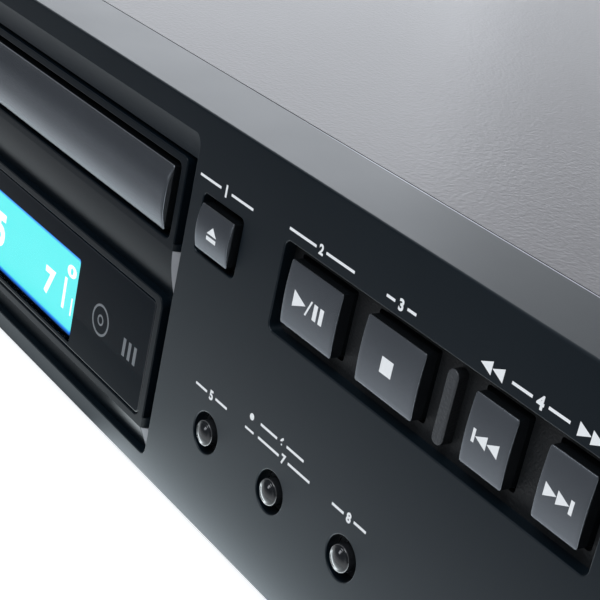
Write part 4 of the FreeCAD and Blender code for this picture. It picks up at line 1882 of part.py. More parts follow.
PARTS = {
    "front_panel": front_panel,
    "display_bezel": display_bezel,
    "window_lens": window_lens,
    "key_surround": key_surround,
    "top_cover": top_cover,
    "bottom_chassis": bottom_chassis,
    "rear_panel": rear_panel,
    "rack_ear_left": lambda: rack_ear(-1),
    "rack_ear_right": lambda: rack_ear(1),
    "ear_screws": ear_screws,
    "case_screws": case_screws,
    "feet": feet,
    "open_close_key": open_close_key,
    "play_key": lambda: transport_key(PLAY_X, WIDE_KEY),
    "stop_key": lambda: transport_key(STOP_X, WIDE_KEY),
    "skip_back_key": lambda: transport_key(SKIP_BACK_X, NARROW_KEY),
    "skip_forward_key": lambda: transport_key(SKIP_FORWARD_X, NARROW_KEY),
    "display_key": lambda: round_key(ROUND_KEYS[0]),
    "play_mode_key": lambda: round_key(ROUND_KEYS[1]),
    "repeat_key": lambda: round_key(ROUND_KEYS[2]),
    "key_board": key_board,
    "switches": switches,
    "power_key": power_key,
    "phones_jack": phones_jack,
    "level_pot": level_pot,
    "level_knob": level_knob,
    "lcd_panel": lcd_panel,
    "lcd_holder": lcd_holder,
    "display_board": display_board,
    "tray_door": tray_door,
    "disc_tray": disc_tray,
    "drive_gear": drive_gear,
    "pulley_gear": pulley_gear,
    "motor_pulley": motor_pulley,
    "drive_belt": drive_belt,
    "loading_motor": loading_motor,
    "loader_frame": loader_frame,
    "loader_brackets": loader_brackets,
    "clamper_bridge": clamper_bridge,
    "clamper": clamper,
    "lift_frame": lambda: lowered(lift_frame()),
    "dampers": lambda: lowered(dampers()),
    "traverse_plate": lambda: lowered(traverse_plate()),
    "guide_rods": lambda: lowered(guide_rods()),
    "spindle_motor": lambda: lowered(spindle_motor()),
    "turntable": lambda: lowered(turntable()),
    "optical_pickup": lambda: lowered(optical_pickup()),
    "objective_lens": lambda: lowered(objective_lens()),
    "sled_gear": lambda: lowered(sled_gear()),
    "sled_pinion": lambda: lowered(sled_pinion()),
    "sled_motor": lambda: lowered(sled_motor()),
    "cam_slider": cam_slider,
    "main_board": main_board,
    "power_board": power_board,
    "board_parts": board_parts,
    "transformer": transformer,
    "flex_cable": flex_cable,
    "ac_inlet": ac_inlet,
    "rear_jacks": rear_jacks,
}

os.makedirs("parts", exist_ok=True)
for name, make in PARTS.items():
    made = solids(make())
    made.exportStep("parts/" + name + ".step")
    print(name, len(made.Solids), "solids, valid", made.isValid(), "volume", round(made.Volume))
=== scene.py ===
import bmesh
import bpy
import json
import numpy as np
from mathutils import Matrix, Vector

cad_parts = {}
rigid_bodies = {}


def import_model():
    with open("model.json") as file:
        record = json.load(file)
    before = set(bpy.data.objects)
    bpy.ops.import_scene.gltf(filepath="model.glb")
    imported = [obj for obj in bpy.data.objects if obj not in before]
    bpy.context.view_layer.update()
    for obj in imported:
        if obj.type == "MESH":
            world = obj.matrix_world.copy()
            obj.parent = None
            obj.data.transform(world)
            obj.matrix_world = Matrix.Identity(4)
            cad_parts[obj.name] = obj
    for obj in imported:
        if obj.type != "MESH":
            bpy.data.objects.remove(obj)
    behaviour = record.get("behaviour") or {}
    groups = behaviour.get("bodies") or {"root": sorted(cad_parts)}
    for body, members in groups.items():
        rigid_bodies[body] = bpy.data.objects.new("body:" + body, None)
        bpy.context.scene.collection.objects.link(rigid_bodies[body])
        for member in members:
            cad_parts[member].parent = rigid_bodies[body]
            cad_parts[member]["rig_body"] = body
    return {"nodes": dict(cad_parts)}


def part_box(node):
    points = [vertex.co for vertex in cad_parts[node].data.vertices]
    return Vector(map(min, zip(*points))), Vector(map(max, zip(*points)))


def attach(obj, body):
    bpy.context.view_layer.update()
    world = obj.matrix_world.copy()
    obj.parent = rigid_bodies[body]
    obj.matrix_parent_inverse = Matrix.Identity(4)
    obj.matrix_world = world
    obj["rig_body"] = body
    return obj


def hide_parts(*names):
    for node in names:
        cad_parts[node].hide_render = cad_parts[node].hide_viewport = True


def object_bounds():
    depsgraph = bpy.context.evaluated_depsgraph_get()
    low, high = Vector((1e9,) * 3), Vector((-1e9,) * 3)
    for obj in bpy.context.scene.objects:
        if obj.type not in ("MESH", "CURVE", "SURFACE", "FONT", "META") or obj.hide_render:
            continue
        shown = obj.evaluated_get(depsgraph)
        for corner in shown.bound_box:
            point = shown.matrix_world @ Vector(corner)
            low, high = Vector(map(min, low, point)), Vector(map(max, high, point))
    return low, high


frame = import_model()
cad_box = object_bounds()

# Camera: a close view of the right half of the front from the right and above, through a long lens.
# Its three columns are the directions of the picture's right, its top, and back towards the camera.
camera = bpy.data.objects.new("camera", bpy.data.cameras.new("camera"))
bpy.context.scene.collection.objects.link(camera)
bpy.context.scene.camera = camera
camera.data.lens = 92.4
camera.data.clip_start = 0.01
camera.matrix_world = Matrix((
    (0.5617, -0.4191, 0.7133, 0.2980),
    (0.8036, 0.0714, -0.5909, -0.1837),
    (0.1967, 0.9051, 0.3770, 0.1333),
    (0.0, 0.0, 0.0, 1.0),
))

# Studio: a pale floor under a pale even sky, and square soft lamps: two behind on the left, one high in
# front and a small one low in front. A dark cloth lies before the object and rises behind the camera,
# with a strip of light between it and the front edge; only reflections see those two.
world = bpy.data.worlds.new("studio")
bpy.context.scene.world = world
world.use_nodes = True
world.node_tree.nodes["Background"].inputs["Color"].default_value = (0.92, 0.955, 1.0, 1.0)
world.node_tree.nodes["Background"].inputs["Strength"].default_value = 0.62
bpy.context.scene.view_settings.view_transform = "Standard"


class Signal:
    """The output of one node. Sums, products and comparisons of signals become Math nodes."""

    def __init__(self, finish, socket):
        self.finish = finish
        self.socket = socket

    def output(self, name):
        """Another output of the same node, by its number or its name."""
        return Signal(self.finish, self.socket.node.outputs[name])

    def over(self, floor):
        """The signal, but never less than floor."""
        return self.finish.maths("MAXIMUM", self, floor)

    def __add__(self, other):
        return self.finish.maths("ADD", self, other)

    def __sub__(self, other):
        return self.finish.maths("SUBTRACT", self, other)

    def __rsub__(self, other):
        return self.finish.maths("SUBTRACT", other, self)

    def __mul__(self, other):
        return self.finish.maths("MULTIPLY", self, other)

    def __truediv__(self, other):
        return self.finish.maths("DIVIDE", self, other)

    def __pow__(self, other):
        return self.finish.maths("POWER", self, other)

    def __abs__(self):
        return self.finish.maths("ABSOLUTE", self)

    def __gt__(self, other):
        return self.finish.maths("GREATER_THAN", self, other)

    def __lt__(self, other):
        return self.finish.maths("LESS_THAN", self, other)

    __radd__, __rmul__ = __add__, __mul__


class Finish:
    """A surface made of nodes. Values that hold all over sit on the shader; signals are linked to it."""

    def __init__(self, name, **values):
        self.material = bpy.data.materials.new(name)
        self.material.use_nodes = True
        self.tree = self.material.node_tree
        self.shader = self.tree.nodes["Principled BSDF"]
        metres = self.node("ShaderNodeTexCoord").output("Object")
        self.place = self.node("ShaderNodeVectorMath", {"operation": "SCALE"}, {0: metres, "Scale": 1000.0})
        self.give(**values)

    def node(self, kind, settings={}, inputs={}, output=0):
        """Adds a node: its settings first, a ramp's stops among them, then its sockets' values or signals."""
        made = self.tree.nodes.new(kind)
        for name, value in settings.items():
            if name == "stops":
                ramp = made.color_ramp.elements
                for number, (position, colour) in enumerate(value):
                    stop = ramp[number] if number < 2 else ramp.new(position)
                    stop.position = position
                    stop.color = (*colour, 1.0)
            else:
                setattr(made, name, value)
        for name, value in inputs.items():
            self.feed(made.inputs[name], value)
        return Signal(self, made.outputs[output])

    def feed(self, socket, value):
        """Links a signal to a socket, or sets the socket's own value; colours get their fourth number."""
        if isinstance(value, Signal):
            self.tree.links.new(value.socket, socket)
        elif isinstance(value, tuple) and socket.type == "RGBA":
            socket.default_value = (*value, 1.0)
        else:
            socket.default_value = value

    def give(self, **values):
        """Sets the shader's sockets by name, with underscores for spaces."""
        for name, value in values.items():
            self.feed(self.shader.inputs[name.replace("_", " ").title().replace("Ior", "IOR")], value)

    def given(self, name):
        """The signal that one of the shader's sockets has now."""
        return Signal(self, self.shader.inputs[name].links[0].from_socket)

    def maths(self, operation, *terms):
        """A Math node on signals and numbers."""
        return self.node("ShaderNodeMath", {"operation": operation}, dict(enumerate(terms)))

    def axes(self):
        """The place on the piece as three signals, in millimetres."""
        split = self.node("ShaderNodeSeparateXYZ", {}, {0: self.place})
        return split, split.output(1), split.output(2)

    def noise(self, size, detail=2.0, place=None):
        """Cloudy noise whose lumps are about size millimetres across, from 0 to 1."""
        return self.node("ShaderNodeTexNoise", {}, {
            "Vector": self.place if place is None else place, "Scale": 1.0 / size, "Detail": detail})

    def cells(self, size, feature):
        """Pattern of cells about size millimetres across; feature says which distance in them it gives."""
        return self.node("ShaderNodeTexVoronoi", {"feature": feature}, {"Vector": self.place, "Scale": 1.0 / size})

    def blend(self, share, first, second):
        """Colour that goes from first to second as share goes from 0 to 1."""
        return self.node("ShaderNodeMix", {"data_type": "RGBA"}, {0: share, 6: first, 7: second}, 2)

    def relief(self, height, depth):
        """Bumps of the given depth in millimetres where height goes from 0 to 1."""
        self.give(normal=self.node("ShaderNodeBump", {}, {
            "Height": height, "Distance": depth / 1000, "Strength": 1.0}))

    def patchy(self, colour, roughness, size, spread, sheen_shift):
        """Colour that drifts by the share spread, and roughness by sheen_shift, over patches of a size."""
        patch = self.noise(size, 3.0)
        dark = tuple(c * (1 - spread) for c in colour)
        light = tuple(c * (1 + spread) for c in colour)
        self.give(base_color=self.blend(patch, dark, light), roughness=roughness + (patch - 0.5) * sheen_shift)

    def see_through(self, share):
        """Lets a share of the light pass: a Mix Shader between the shader and a transparent one."""
        clear = self.node("ShaderNodeBsdfTransparent")
        mixed = self.node("ShaderNodeMixShader", {}, {0: share, 1: Signal(self, self.shader.outputs[0]), 2: clear})
        self.tree.links.new(mixed.socket, self.tree.nodes["Material Output"].inputs["Surface"])


def grid_faces(rows, columns):
    """Quads between the points of a grid that is stored row by row."""
    index = np.arange(rows * columns).reshape(rows, columns)
    return np.stack([index[:-1, :-1], index[:-1, 1:], index[1:, 1:], index[1:, :-1]], axis=-1).reshape(-1, 4)


def add_object(name, points, faces, finish):
    """A mesh object from an array of points, in metres, and its faces."""
    mesh = bpy.data.meshes.new(name)
    mesh.from_pydata(np.asarray(points).reshape(-1, 3).tolist(), [], [list(map(int, face)) for face in faces])
    mesh.materials.append(finish.material)
    made = bpy.data.objects.new(name, mesh)
    bpy.context.scene.collection.objects.link(made)
    return made


def level_sheet(name, x, y, z, finish):
    """Rectangle at one height between two x and two y, in metres."""
    x, y = np.meshgrid(x, y)
    return add_object(name, np.stack([x, y, np.full_like(x, z)], axis=-1), grid_faces(2, 2), finish)


FLOOR = cad_box[0].z
FLOOR_HALF = 4.0
MIRRORED_SHARE = 0.49
floor_finish = Finish("pale_floor", specular_ior_level=0.2)
floor_finish.patchy((0.86, 0.86, 0.86), 0.7, 400.0, 0.01, 0.1)
rays = floor_finish.node("ShaderNodeLightPath")
seen = rays + MIRRORED_SHARE * (rays.output("Is Glossy Ray") + rays.output("Is Transmission Ray"))
floor_finish.give(emission_color=floor_finish.blend(seen, (0.0, 0.0, 0.0), (0.96, 0.98, 1.0)),
                  emission_strength=0.80)
floor = level_sheet("floor", [-FLOOR_HALF, FLOOR_HALF], [-FLOOR_HALF, FLOOR_HALF], FLOOR, floor_finish)

CLOTH_START = -0.0065
CLOTH_HALF = 2.0
CLOTH_RUN = 0.8
CLOTH_RISE = 1.4
CLOTH_LIFT = 0.0004
CLOTH_FADE = 300.0
cloth_finish = Finish("dark_cloth", base_color=(0.04, 0.043, 0.050), roughness=1.0, specular_ior_level=0.0)
cover = cloth_finish.node("ShaderNodeValToRGB", {"stops": [
    (place, (share, share, share)) for place, share in (
        (0.0, 0.0), (1.0, 1.0), (0.10, 0.13), (0.23, 0.58), (0.33, 0.8), (0.55, 0.95))
]}, {0: cloth_finish.axes()[1] / -CLOTH_FADE})
cloth_finish.see_through(1 - cover)
bend = np.linspace(0.0, np.pi / 2, 12)
cloth_y = CLOTH_START - np.concatenate([[0.0, 0.1, 0.3], CLOTH_RUN * (0.5 + 0.5 * np.sin(bend)), [CLOTH_RUN]])
cloth_z = FLOOR + CLOTH_LIFT + np.concatenate([
    [0.0, 0.0, 0.0], 0.5 * CLOTH_RUN * (1 - np.cos(bend)), [CLOTH_RISE]])
cloth_x = np.array([-CLOTH_HALF, CLOTH_HALF])
points = np.stack(np.broadcast_arrays(cloth_x[None, :], cloth_y[:, None], cloth_z[:, None]), axis=-1)
cloth = add_object("dark_cloth", points, grid_faces(len(cloth_y), 2), cloth_finish)

# The strip's glow at shares of its width, away from the panel: left and right of STRIP_STEP.
STRIP_LEFT = ((0.0, 0.08), (1.0, 0.55), (0.13, 0.20), (0.30, 0.95), (0.43, 1.0), (0.67, 0.68))
STRIP_RIGHT = ((0.0, 3.2), (1.0, 0.55), (0.13, 3.2), (0.30, 1.3), (0.43, 1.0), (0.67, 0.68))
STRIP_STEP = 5.0
STRIP_STEP_RUN = 15.0
STRIP_HALF = 0.45
STRIP_WIDTH = 0.03
STRIP_LIFT = 0.0002
strip_finish = Finish("light_strip", base_color=(0.0, 0.0, 0.0), roughness=1.0, specular_ior_level=0.0,
                      emission_strength=1.6)
x, y, _ = strip_finish.axes()
away = (y - 1000 * CLOTH_START) / (-1000 * STRIP_WIDTH)
glows = [strip_finish.node("ShaderNodeValToRGB", {"stops": [
    (place, (0.88 * glow, 0.96 * glow, glow)) for place, glow in fall]}, {0: away})
    for fall in (STRIP_LEFT, STRIP_RIGHT)]
strip_finish.give(emission_color=strip_finish.blend((x - STRIP_STEP) / STRIP_STEP_RUN, *glows))
strip = level_sheet("light_strip", [-STRIP_HALF, STRIP_HALF], [CLOTH_START, CLOTH_START - STRIP_WIDTH],
                    FLOOR + STRIP_LIFT, strip_finish)
for hidden in (cloth, strip):
    for ray in ("camera", "diffuse", "transmission", "shadow", "volume_scatter"):
        setattr(hidden, "visible_" + ray, False)


def soft_box(name, place, target, size, strength):
    """Square lamp at place that faces target; strength is its brightness, where 1 is white."""
    lamp = bpy.data.lights.new(name, "AREA")
    lamp.size = size
    lamp.color = (0.91, 0.945, 1.0)
    lamp.energy = strength * np.pi * size * size
    made = bpy.data.objects.new(name, lamp)
    bpy.context.scene.collection.objects.link(made)
    way = np.array(place) - np.array(target)
    back = way / np.linalg.norm(way)
    right = np.cross((0.0, 0.0, 1.0), back)
    right = right / np.linalg.norm(right)
    up = np.cross(back, right)
    columns = np.eye(4)
    columns[:3] = np.stack([right, up, back, place], axis=-1)
    made.matrix_world = Matrix(columns.tolist())
    made.visible_camera = False


soft_box("back_box", (-1.25, 0.90, 0.42), (0.05, 0.05, 0.0), 0.62, 1.95)
soft_box("low_box", (-0.98, 1.22, 0.16), (0.05, 0.05, 0.0), 0.34, 2.3)
soft_box("front_box", (0.2, -1.1, 1.5), (0.0, -0.2, 0.0), 1.0, 6.0)
soft_box("corner_box", (-0.135, -0.46, 0.05), (0.06, -0.007, 0.0), 0.10, 3.0)


# Front panel: one black moulding with a fine etched grain. Its apertures and its front rim have
# small rounds, which catch thin lines of light. Its rear edge carries a pale painted highlight where
# the cover meets it, except at the middle. The ears and the bezel are fixed to it from behind.
def grained_plastic(name, colour, roughness, grain, depth, gloss=0.5):
    """Moulded plastic with a noise grain of that size and depth, and faint patches of handling."""
    made = Finish(name, specular_ior_level=gloss)
    made.patchy(colour, roughness, 30.0, 0.12, 0.06)
    made.relief(made.noise(grain, 3.0), depth)
    return made


def dress(finish, *nodes):
    """Gives CAD nodes a finish on all their slots; their own meshes stay."""
    for node in nodes:
        for place in frame["nodes"][node].material_slots:
            place.material = finish.material


PANEL_FACE = -6.0
HOOD_TOP = 43.5
SEAM_HIGHLIGHT_DEPTH = 14.1
SEAM_HIGHLIGHT_START = 45.0
SEAM_HIGHLIGHT_RUN = 30.0
panel_finish = grained_plastic("panel_plastic", (0.0022, 0.0056, 0.0090), 0.35, 0.35, 0.011, gloss=0.52)
x, y, z = panel_finish.axes()
# Painted highlight: a pale line on the panel's rear top edge by the cover, none near the middle, growing towards
# the ends.
painted_seam_highlight = (y > SEAM_HIGHLIGHT_DEPTH) * (z > HOOD_TOP) * ((abs(x) - SEAM_HIGHLIGHT_START) / SEAM_HIGHLIGHT_RUN)
panel_finish.give(specular_tint=(0.84, 0.93, 1.0), base_color=panel_finish.blend(
    painted_seam_highlight, panel_finish.given("Base Color"), (0.42, 0.42, 0.48)))
dress(panel_finish, "front_panel")


# Bezel: frame of the tray, curved chin and frame of the window in one smoother black moulding,
# clipped behind the panel.
bezel_finish = grained_plastic("bezel_plastic", (0.0020, 0.0048, 0.0078), 0.32, 0.3, 0.004, gloss=0.19)
dress(bezel_finish, "display_bezel")


# Chin ends: pale bars, triangular in plan, pressed between the ends of the bezel's two chins
# and the sides of the panel's aperture; their pale grey is a painted highlight. They follow the chins' fronts and
# the draft of their ends.
def place_piece(made, body, slot, *nodes):
    """Lets a finished piece ride on its body and stand for CAD nodes; slot is not used."""
    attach(made, body)
    if nodes:
        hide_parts(*nodes)
    return made


def close_up(made):
    """Merges a mesh's doubled points, drops faces with no area and turns all faces outwards."""
    work = bmesh.new()
    work.from_mesh(made.data)
    bmesh.ops.remove_doubles(work, verts=work.verts, dist=1e-7)
    bmesh.ops.dissolve_degenerate(work, edges=work.edges, dist=1e-7)
    bmesh.ops.recalc_face_normals(work, faces=work.faces)
    work.to_mesh(made.data)
    work.free()


BEZEL_MIDDLE = -41.9
CHIN_END = 78.9
WEDGE_LAP = 0.05
WEDGE_FOOT = 2.9
END_DRAFT = 1.3 / 3.0
MOULDING_BACK = -3.05


def chin_wedges(name, height, front, finish):
    """Two three-sided bars, mirrored about the bezel's middle: each section in plan is a triangle from
    the chin's front to the moulding's back, WEDGE_FOOT wide there; front gives the chin's depth at a
    share of the height, from its top down."""
    z = np.linspace(*height, 13)
    y = front((height[1] - z) / (height[1] - height[0]))
    points, faces = [], []
    for side in (-1, 1):
        edge = BEZEL_MIDDLE + side * (CHIN_END - WEDGE_LAP + END_DRAFT * (y - PANEL_FACE))
        foot = BEZEL_MIDDLE + side * (CHIN_END + WEDGE_FOOT)
        section = np.stack([np.broadcast_arrays(edge, y, z), np.broadcast_arrays(foot, MOULDING_BACK, z),
                            np.broadcast_arrays(edge, MOULDING_BACK, z)], axis=1).transpose(2, 1, 0)
        index = len(points) + np.arange(len(z) * 3).reshape(-1, 3)
        points += section.reshape(-1, 3).tolist()
        after = np.roll(index, -1, axis=1)
        walls = np.stack([index[:-1], after[:-1], after[1:], index[1:]], axis=-1).reshape(-1, 4)
        faces += walls.tolist() + [index[0].tolist(), index[-1].tolist()]
    made = add_object(name, np.array(points) / 1000, faces, finish)
    close_up(made)
    place_piece(made, "chassis", "key")


def curved_chin(share):
    """Front of the chin under the tray: 2.3 mm back at its foot, less a parabola of 0.45 mm."""
    return PANEL_FACE + 2.3 * share - 0.45 * 4 * share * (1 - share)


def lower_chin(share):
    """Front of the chin under the window: a plain slope of 2.1 mm."""
    return PANEL_FACE + 2.1 * share


# Painted highlight: pale grey that stands in for light caught in the gaps beside the chins.
painted_highlight_finish = Finish("satin_ends_painted_highlight", roughness=0.4, metallic=0.2)
painted_highlight_finish.give(base_color=painted_highlight_finish.blend(painted_highlight_finish.noise(2.0), (0.27, 0.275, 0.29), (0.31, 0.315, 0.33)))
chin_wedges("chin_ends", (-1.3, 10.2), curved_chin, painted_highlight_finish)
chin_wedges("lower_chin_ends", (-39.3, -34.0), lower_chin, painted_highlight_finish)


# Key surround: the well of the transport keys with its divider rib, a separate black moulding with a
# leather grain, fixed behind the panel. The rib's front is painted paler, a painted sheen.
RIB_TOP = -5.3
well_finish = Finish("leather_grain", roughness=0.42, specular_ior_level=0.6)
well_finish.relief(well_finish.cells(0.9, "DISTANCE_TO_EDGE") + 0.4 * well_finish.noise(0.35), 0.10)
well_shade = well_finish.blend(well_finish.noise(20.0), (0.004, 0.005, 0.006), (0.007, 0.008, 0.009))
# Painted sheen: the rib's front, in front of RIB_TOP, is made paler by a noisy share.
rib_painted_sheen = (well_finish.axes()[1] < RIB_TOP) * (0.6 + 0.8 * well_finish.noise(0.7))
well_finish.give(base_color=well_finish.blend(rib_painted_sheen, well_shade, (0.036, 0.039, 0.043)))
dress(well_finish, "key_surround")


# Push keys: satin lacquered caps with a cushioned face, each with a flange behind its aperture and a
# stem to its switch. All are shells drawn through rings from the middle of the face to the stem.
def outline(half_x, half_z, corner, turn=5, side=8):
    """Rounded rectangle about nothing: quarter circles at the corners, joined by even steps."""
    corner = max(0.0, min(corner, half_x, half_z))
    angle = np.linspace(0.0, np.pi / 2, turn + 1) + np.arange(4)[:, None] * np.pi / 2
    sign = np.array([[1, 1], [-1, 1], [-1, -1], [1, -1]])
    middle = sign * np.array([half_x - corner, half_z - corner])
    arcs = middle[:, None] + corner * np.stack([np.cos(angle), np.sin(angle)], axis=-1)
    step = np.arange(1, side)[:, None] / side
    runs = arcs[:, -1:] + (np.roll(arcs[:, :1], -1, axis=0) - arcs[:, -1:]) * step
    return np.concatenate([arcs, runs], axis=1).reshape(-1, 2)


def ring(centre, half_x, half_z, corner, y, **steps):
    """One ring of a shell in the plane of the panel; y is a depth or follows each point's height."""
    flat = outline(half_x, half_z, corner, **steps)
    depth = y(flat[:, 1]) if callable(y) else np.full(len(flat), y)
    return np.stack([centre[0] + flat[:, 0], depth, centre[1] + flat[:, 1]], axis=-1)


def shell(name, rings, finish):
    """Closed surface through rings in millimetres, from a pole in front to a pole behind; bends of
    more than 35 degrees stay sharp."""
    points = np.concatenate([np.asarray(rings), np.asarray(rings)[:, :1]], axis=1) / 1000
    made = add_object(name, points, grid_faces(*points.shape[:2]), finish)
    close_up(made)
    made.data.shade_smooth()
    made.data.set_sharp_from_angle(angle=np.radians(35))
    return made


ROLL = np.radians([22, 45, 67, 90])


def cushion(centre, half, corner, edge, bulge, round_over, power=2.0, **steps):
    """Rings of a cushioned face: proud of its edge by bulge in the middle height, less a power of the
    height, and rolled over a quarter circle at the rim."""
    def face(fall):
        return lambda z: edge + fall - bulge * (1 - np.abs(z / half[1]) ** power)

    made = []
    for inset in np.linspace(min(half), round_over, 9):
        made.append(ring(centre, half[0] - inset, half[1] - inset, corner - inset, face(0.0), **steps))
    for turn in ROLL:
        inset = round_over * (1 - np.sin(turn))
        made.append(ring(centre, half[0] - inset, half[1] - inset, corner - inset,
                         face(round_over * (1 - np.cos(turn))), **steps))
    return made


def middle_and_back(node):
    """The middle of a CAD node in the plane of the panel, and its rearmost depth, in millimetres."""
    low, high = (np.array(end) * 1000 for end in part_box(node))
    return ((low[0] + high[0]) / 2, (low[2] + high[2]) / 2), high[1]


CAP_ROUND = 0.16
FLANGE_LAP = 1.3
FLANGE_THICK = 1.2
FLANGE_CORNER = 0.3


def push_key(node, finish, size, edge, bulge, corner, seat, stem, gap=0.0):
    """Key in the place of its CAD node: a cushioned cap, a flange from the seat on that laps over the
    gap and the aperture's rim, and a stem to the node's back. Returns the key's middle."""
    centre, back = middle_and_back(node)
    half = (size[0] / 2, size[1] / 2)
    wide = (half[0] + gap + FLANGE_LAP, half[1] + gap + FLANGE_LAP, FLANGE_CORNER)
    flange_back = seat + FLANGE_THICK
    rings = cushion(centre, half, corner, edge, bulge, CAP_ROUND)
    rings += [ring(centre, *half, corner, seat), ring(centre, *wide, seat), ring(centre, *wide, flange_back)]
    rings += [ring(centre, *stem, flange_back), ring(centre, *stem, back), ring(centre, 0.0, 0.0, 0.0, back)]
    place_piece(shell(node + "_cap", rings, finish), frame["nodes"][node]["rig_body"], "key", node)
    return centre


def lacquered(name, edge):
    """Satin lacquer on what stands proud of a depth, and the bare dark moulding behind it."""
    made = Finish(name, specular_ior_level=0.5)
    face = made.axes()[1] < edge + 0.02
    patch = made.noise(9.0)
    lacquer = made.blend(patch, (0.208, 0.225, 0.247), (0.222, 0.240, 0.263))
    made.give(base_color=made.blend(face, (0.004, 0.005, 0.006), lacquer), metallic=face * 0.85,
              roughness=0.22 + (patch - 0.5) * 0.04)
    made.relief(made.noise(0.5), 0.00015)
    return made


OPEN_FRONT = -7.0
OPEN_BULGE = 0.8
POWER_FRONT = -8.0
KEY_HEIGHT = 13.7
KEY_BULGE = 0.4
ROUND_STEM = (1.6, 1.6, 1.6)
key_finish = lacquered("transport_lacquer", PANEL_FACE)
centres = {node: push_key(node, key_finish, size=(width, KEY_HEIGHT), edge=PANEL_FACE, bulge=KEY_BULGE,
                          corner=0.5, seat=-0.8, stem=ROUND_STEM)
           for node, width in (("play_key", 17.2), ("stop_key", 17.2), ("skip_back_key", 11.0),
                               ("skip_forward_key", 11.0))}
centres["open_close_key"] = push_key(
    "open_close_key", lacquered("open_key_lacquer", OPEN_FRONT), size=(12.5, 10.1), edge=OPEN_FRONT,
    bulge=OPEN_BULGE, corner=0.5, seat=-2.8, stem=ROUND_STEM, gap=1.6)
push_key("power_key", lacquered("power_key_lacquer", POWER_FRONT), size=(20.0, 12.0), edge=POWER_FRONT,
         bulge=0.5, corner=0.6, seat=-2.8, stem=(3.0, 3.0, 0.3), gap=0.5)


# Three small round keys: glossy black domes, turned in one piece with the same flange and stem. The
# stem ends a hair short of the switch, so that it clears it at full press.
DOME_FRONT = -7.3
DOME_RADIUS = 2.3
DOME_ROLL = 0.65
DOME_SEAT = -2.8
DOME_FLANGE = (5.95, 5.95, FLANGE_CORNER)
STEM_CLEARANCE = 0.03
round_finish = Finish("gloss_black", roughness=0.07, specular_ior_level=0.9)
round_finish.give(base_color=round_finish.blend(
    round_finish.noise(3.0), (0.010, 0.011, 0.012), (0.014, 0.015, 0.017)))
crown = np.linspace(0.0, DOME_RADIUS, 9)
radii = np.concatenate([crown, DOME_RADIUS + DOME_ROLL * np.sin(ROLL)])
depths = DOME_FRONT + DOME_ROLL * np.concatenate([(crown / DOME_RADIUS) ** 2, 2 - np.cos(ROLL)])
for node in ("display_key", "play_mode_key", "repeat_key"):
    centre, back = middle_and_back(node)
    flange_back, stem_end = DOME_SEAT + FLANGE_THICK, back - STEM_CLEARANCE
    rings = [ring(centre, r, r, r, y, turn=12, side=2) for r, y in zip(radii, depths)]
    rings += [ring(centre, *section, y, turn=12, side=2) for section, y in (
        ((radii[-1], radii[-1], radii[-1]), DOME_SEAT), (DOME_FLANGE, DOME_SEAT), (DOME_FLANGE, flange_back),
        (ROUND_STEM, flange_back), (ROUND_STEM, stem_end), ((0.0, 0.0, 0.0), stem_end))]
    place_piece(shell(node + "_dome", rings, round_finish), frame["nodes"][node]["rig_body"], "round_key", node)


# Tray door: a long cushioned bar in the same satin lacquer as the transport keys, with two lugs that
# clip over the front of the tray.
def blocks(name, boxes, finish, round_over):
    """Rounded blocks in one mesh, each from its low and high corner in millimetres."""
    corners = np.array([[0, 0, 0], [1, 0, 0], [1, 1, 0], [0, 1, 0], [0, 0, 1], [1, 0, 1], [1, 1, 1], [0, 1, 1]])
    sides = np.array([[0, 3, 2, 1], [4, 5, 6, 7], [0, 1, 5, 4], [1, 2, 6, 5], [2, 3, 7, 6], [3, 0, 4, 7]])
    low, high = np.array(boxes, dtype=float).swapaxes(0, 1)[:, :, None] / 1000
    points = low + (high - low) * corners
    faces = sides + np.arange(len(boxes))[:, None, None] * len(corners)
    made = add_object(name, points, faces.reshape(-1, 4), finish)
    bevel = made.modifiers.new("rounded edges", "BEVEL")
    bevel.width = round_over / 1000
    bevel.segments = 2
    bevel.harden_normals = True
    made.data.shade_smooth()
    return made


DOOR_BACK = -2.4
DOOR_HEIGHT = 15.3
DOOR_MIDDLE = 20.85
DOOR_ROUND = 0.35
LUG_HALF = 9.0
LUG_SPACING = 35.0
low, high = (end.x * 1000 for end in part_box("tray_door"))
door_half = ((high - low) / 2, DOOR_HEIGHT / 2)
door_centre = ((low + high) / 2, DOOR_MIDDLE)
rings = cushion(door_centre, door_half, 0.6, PANEL_FACE, 1.4, DOOR_ROUND, power=2.6, side=24)
rings += [ring(door_centre, *door_half, 0.6, DOOR_BACK, side=24), ring(door_centre, 0, 0, 0, DOOR_BACK, side=24)]
place_piece(shell("tray_door_face", rings, key_finish), "tray", "key", "tray_door")
lugs = [((x - LUG_HALF, -2.6, 22.4), (x + LUG_HALF, 0.6, 24.0))
        for x in (door_centre[0] - LUG_SPACING, door_centre[0] + LUG_SPACING)]
place_piece(blocks("door_lugs", lugs, key_finish, 0.2), "tray", "key")


# Display: a glossy smoked window in front of a lit liquid crystal panel. The window is clear in
# front of the lit area and black behind its margins; the glow is cyan with a thin blue border.
def beyond(finish, low, high, corner):
    """Distance outside a rounded rectangle in the plane of the panel, in millimetres; negative inside it."""
    x, _, z = finish.axes()
    middle, half = (low + high) / 2, (high - low) / 2 - corner
    over_x = (abs(x - float(middle[0])) - float(half[0])).over(0.0)
    over_z = (abs(z - float(middle[1])) - float(half[1])).over(0.0)
    return (over_x * over_x + over_z * over_z) ** 0.5 - corner


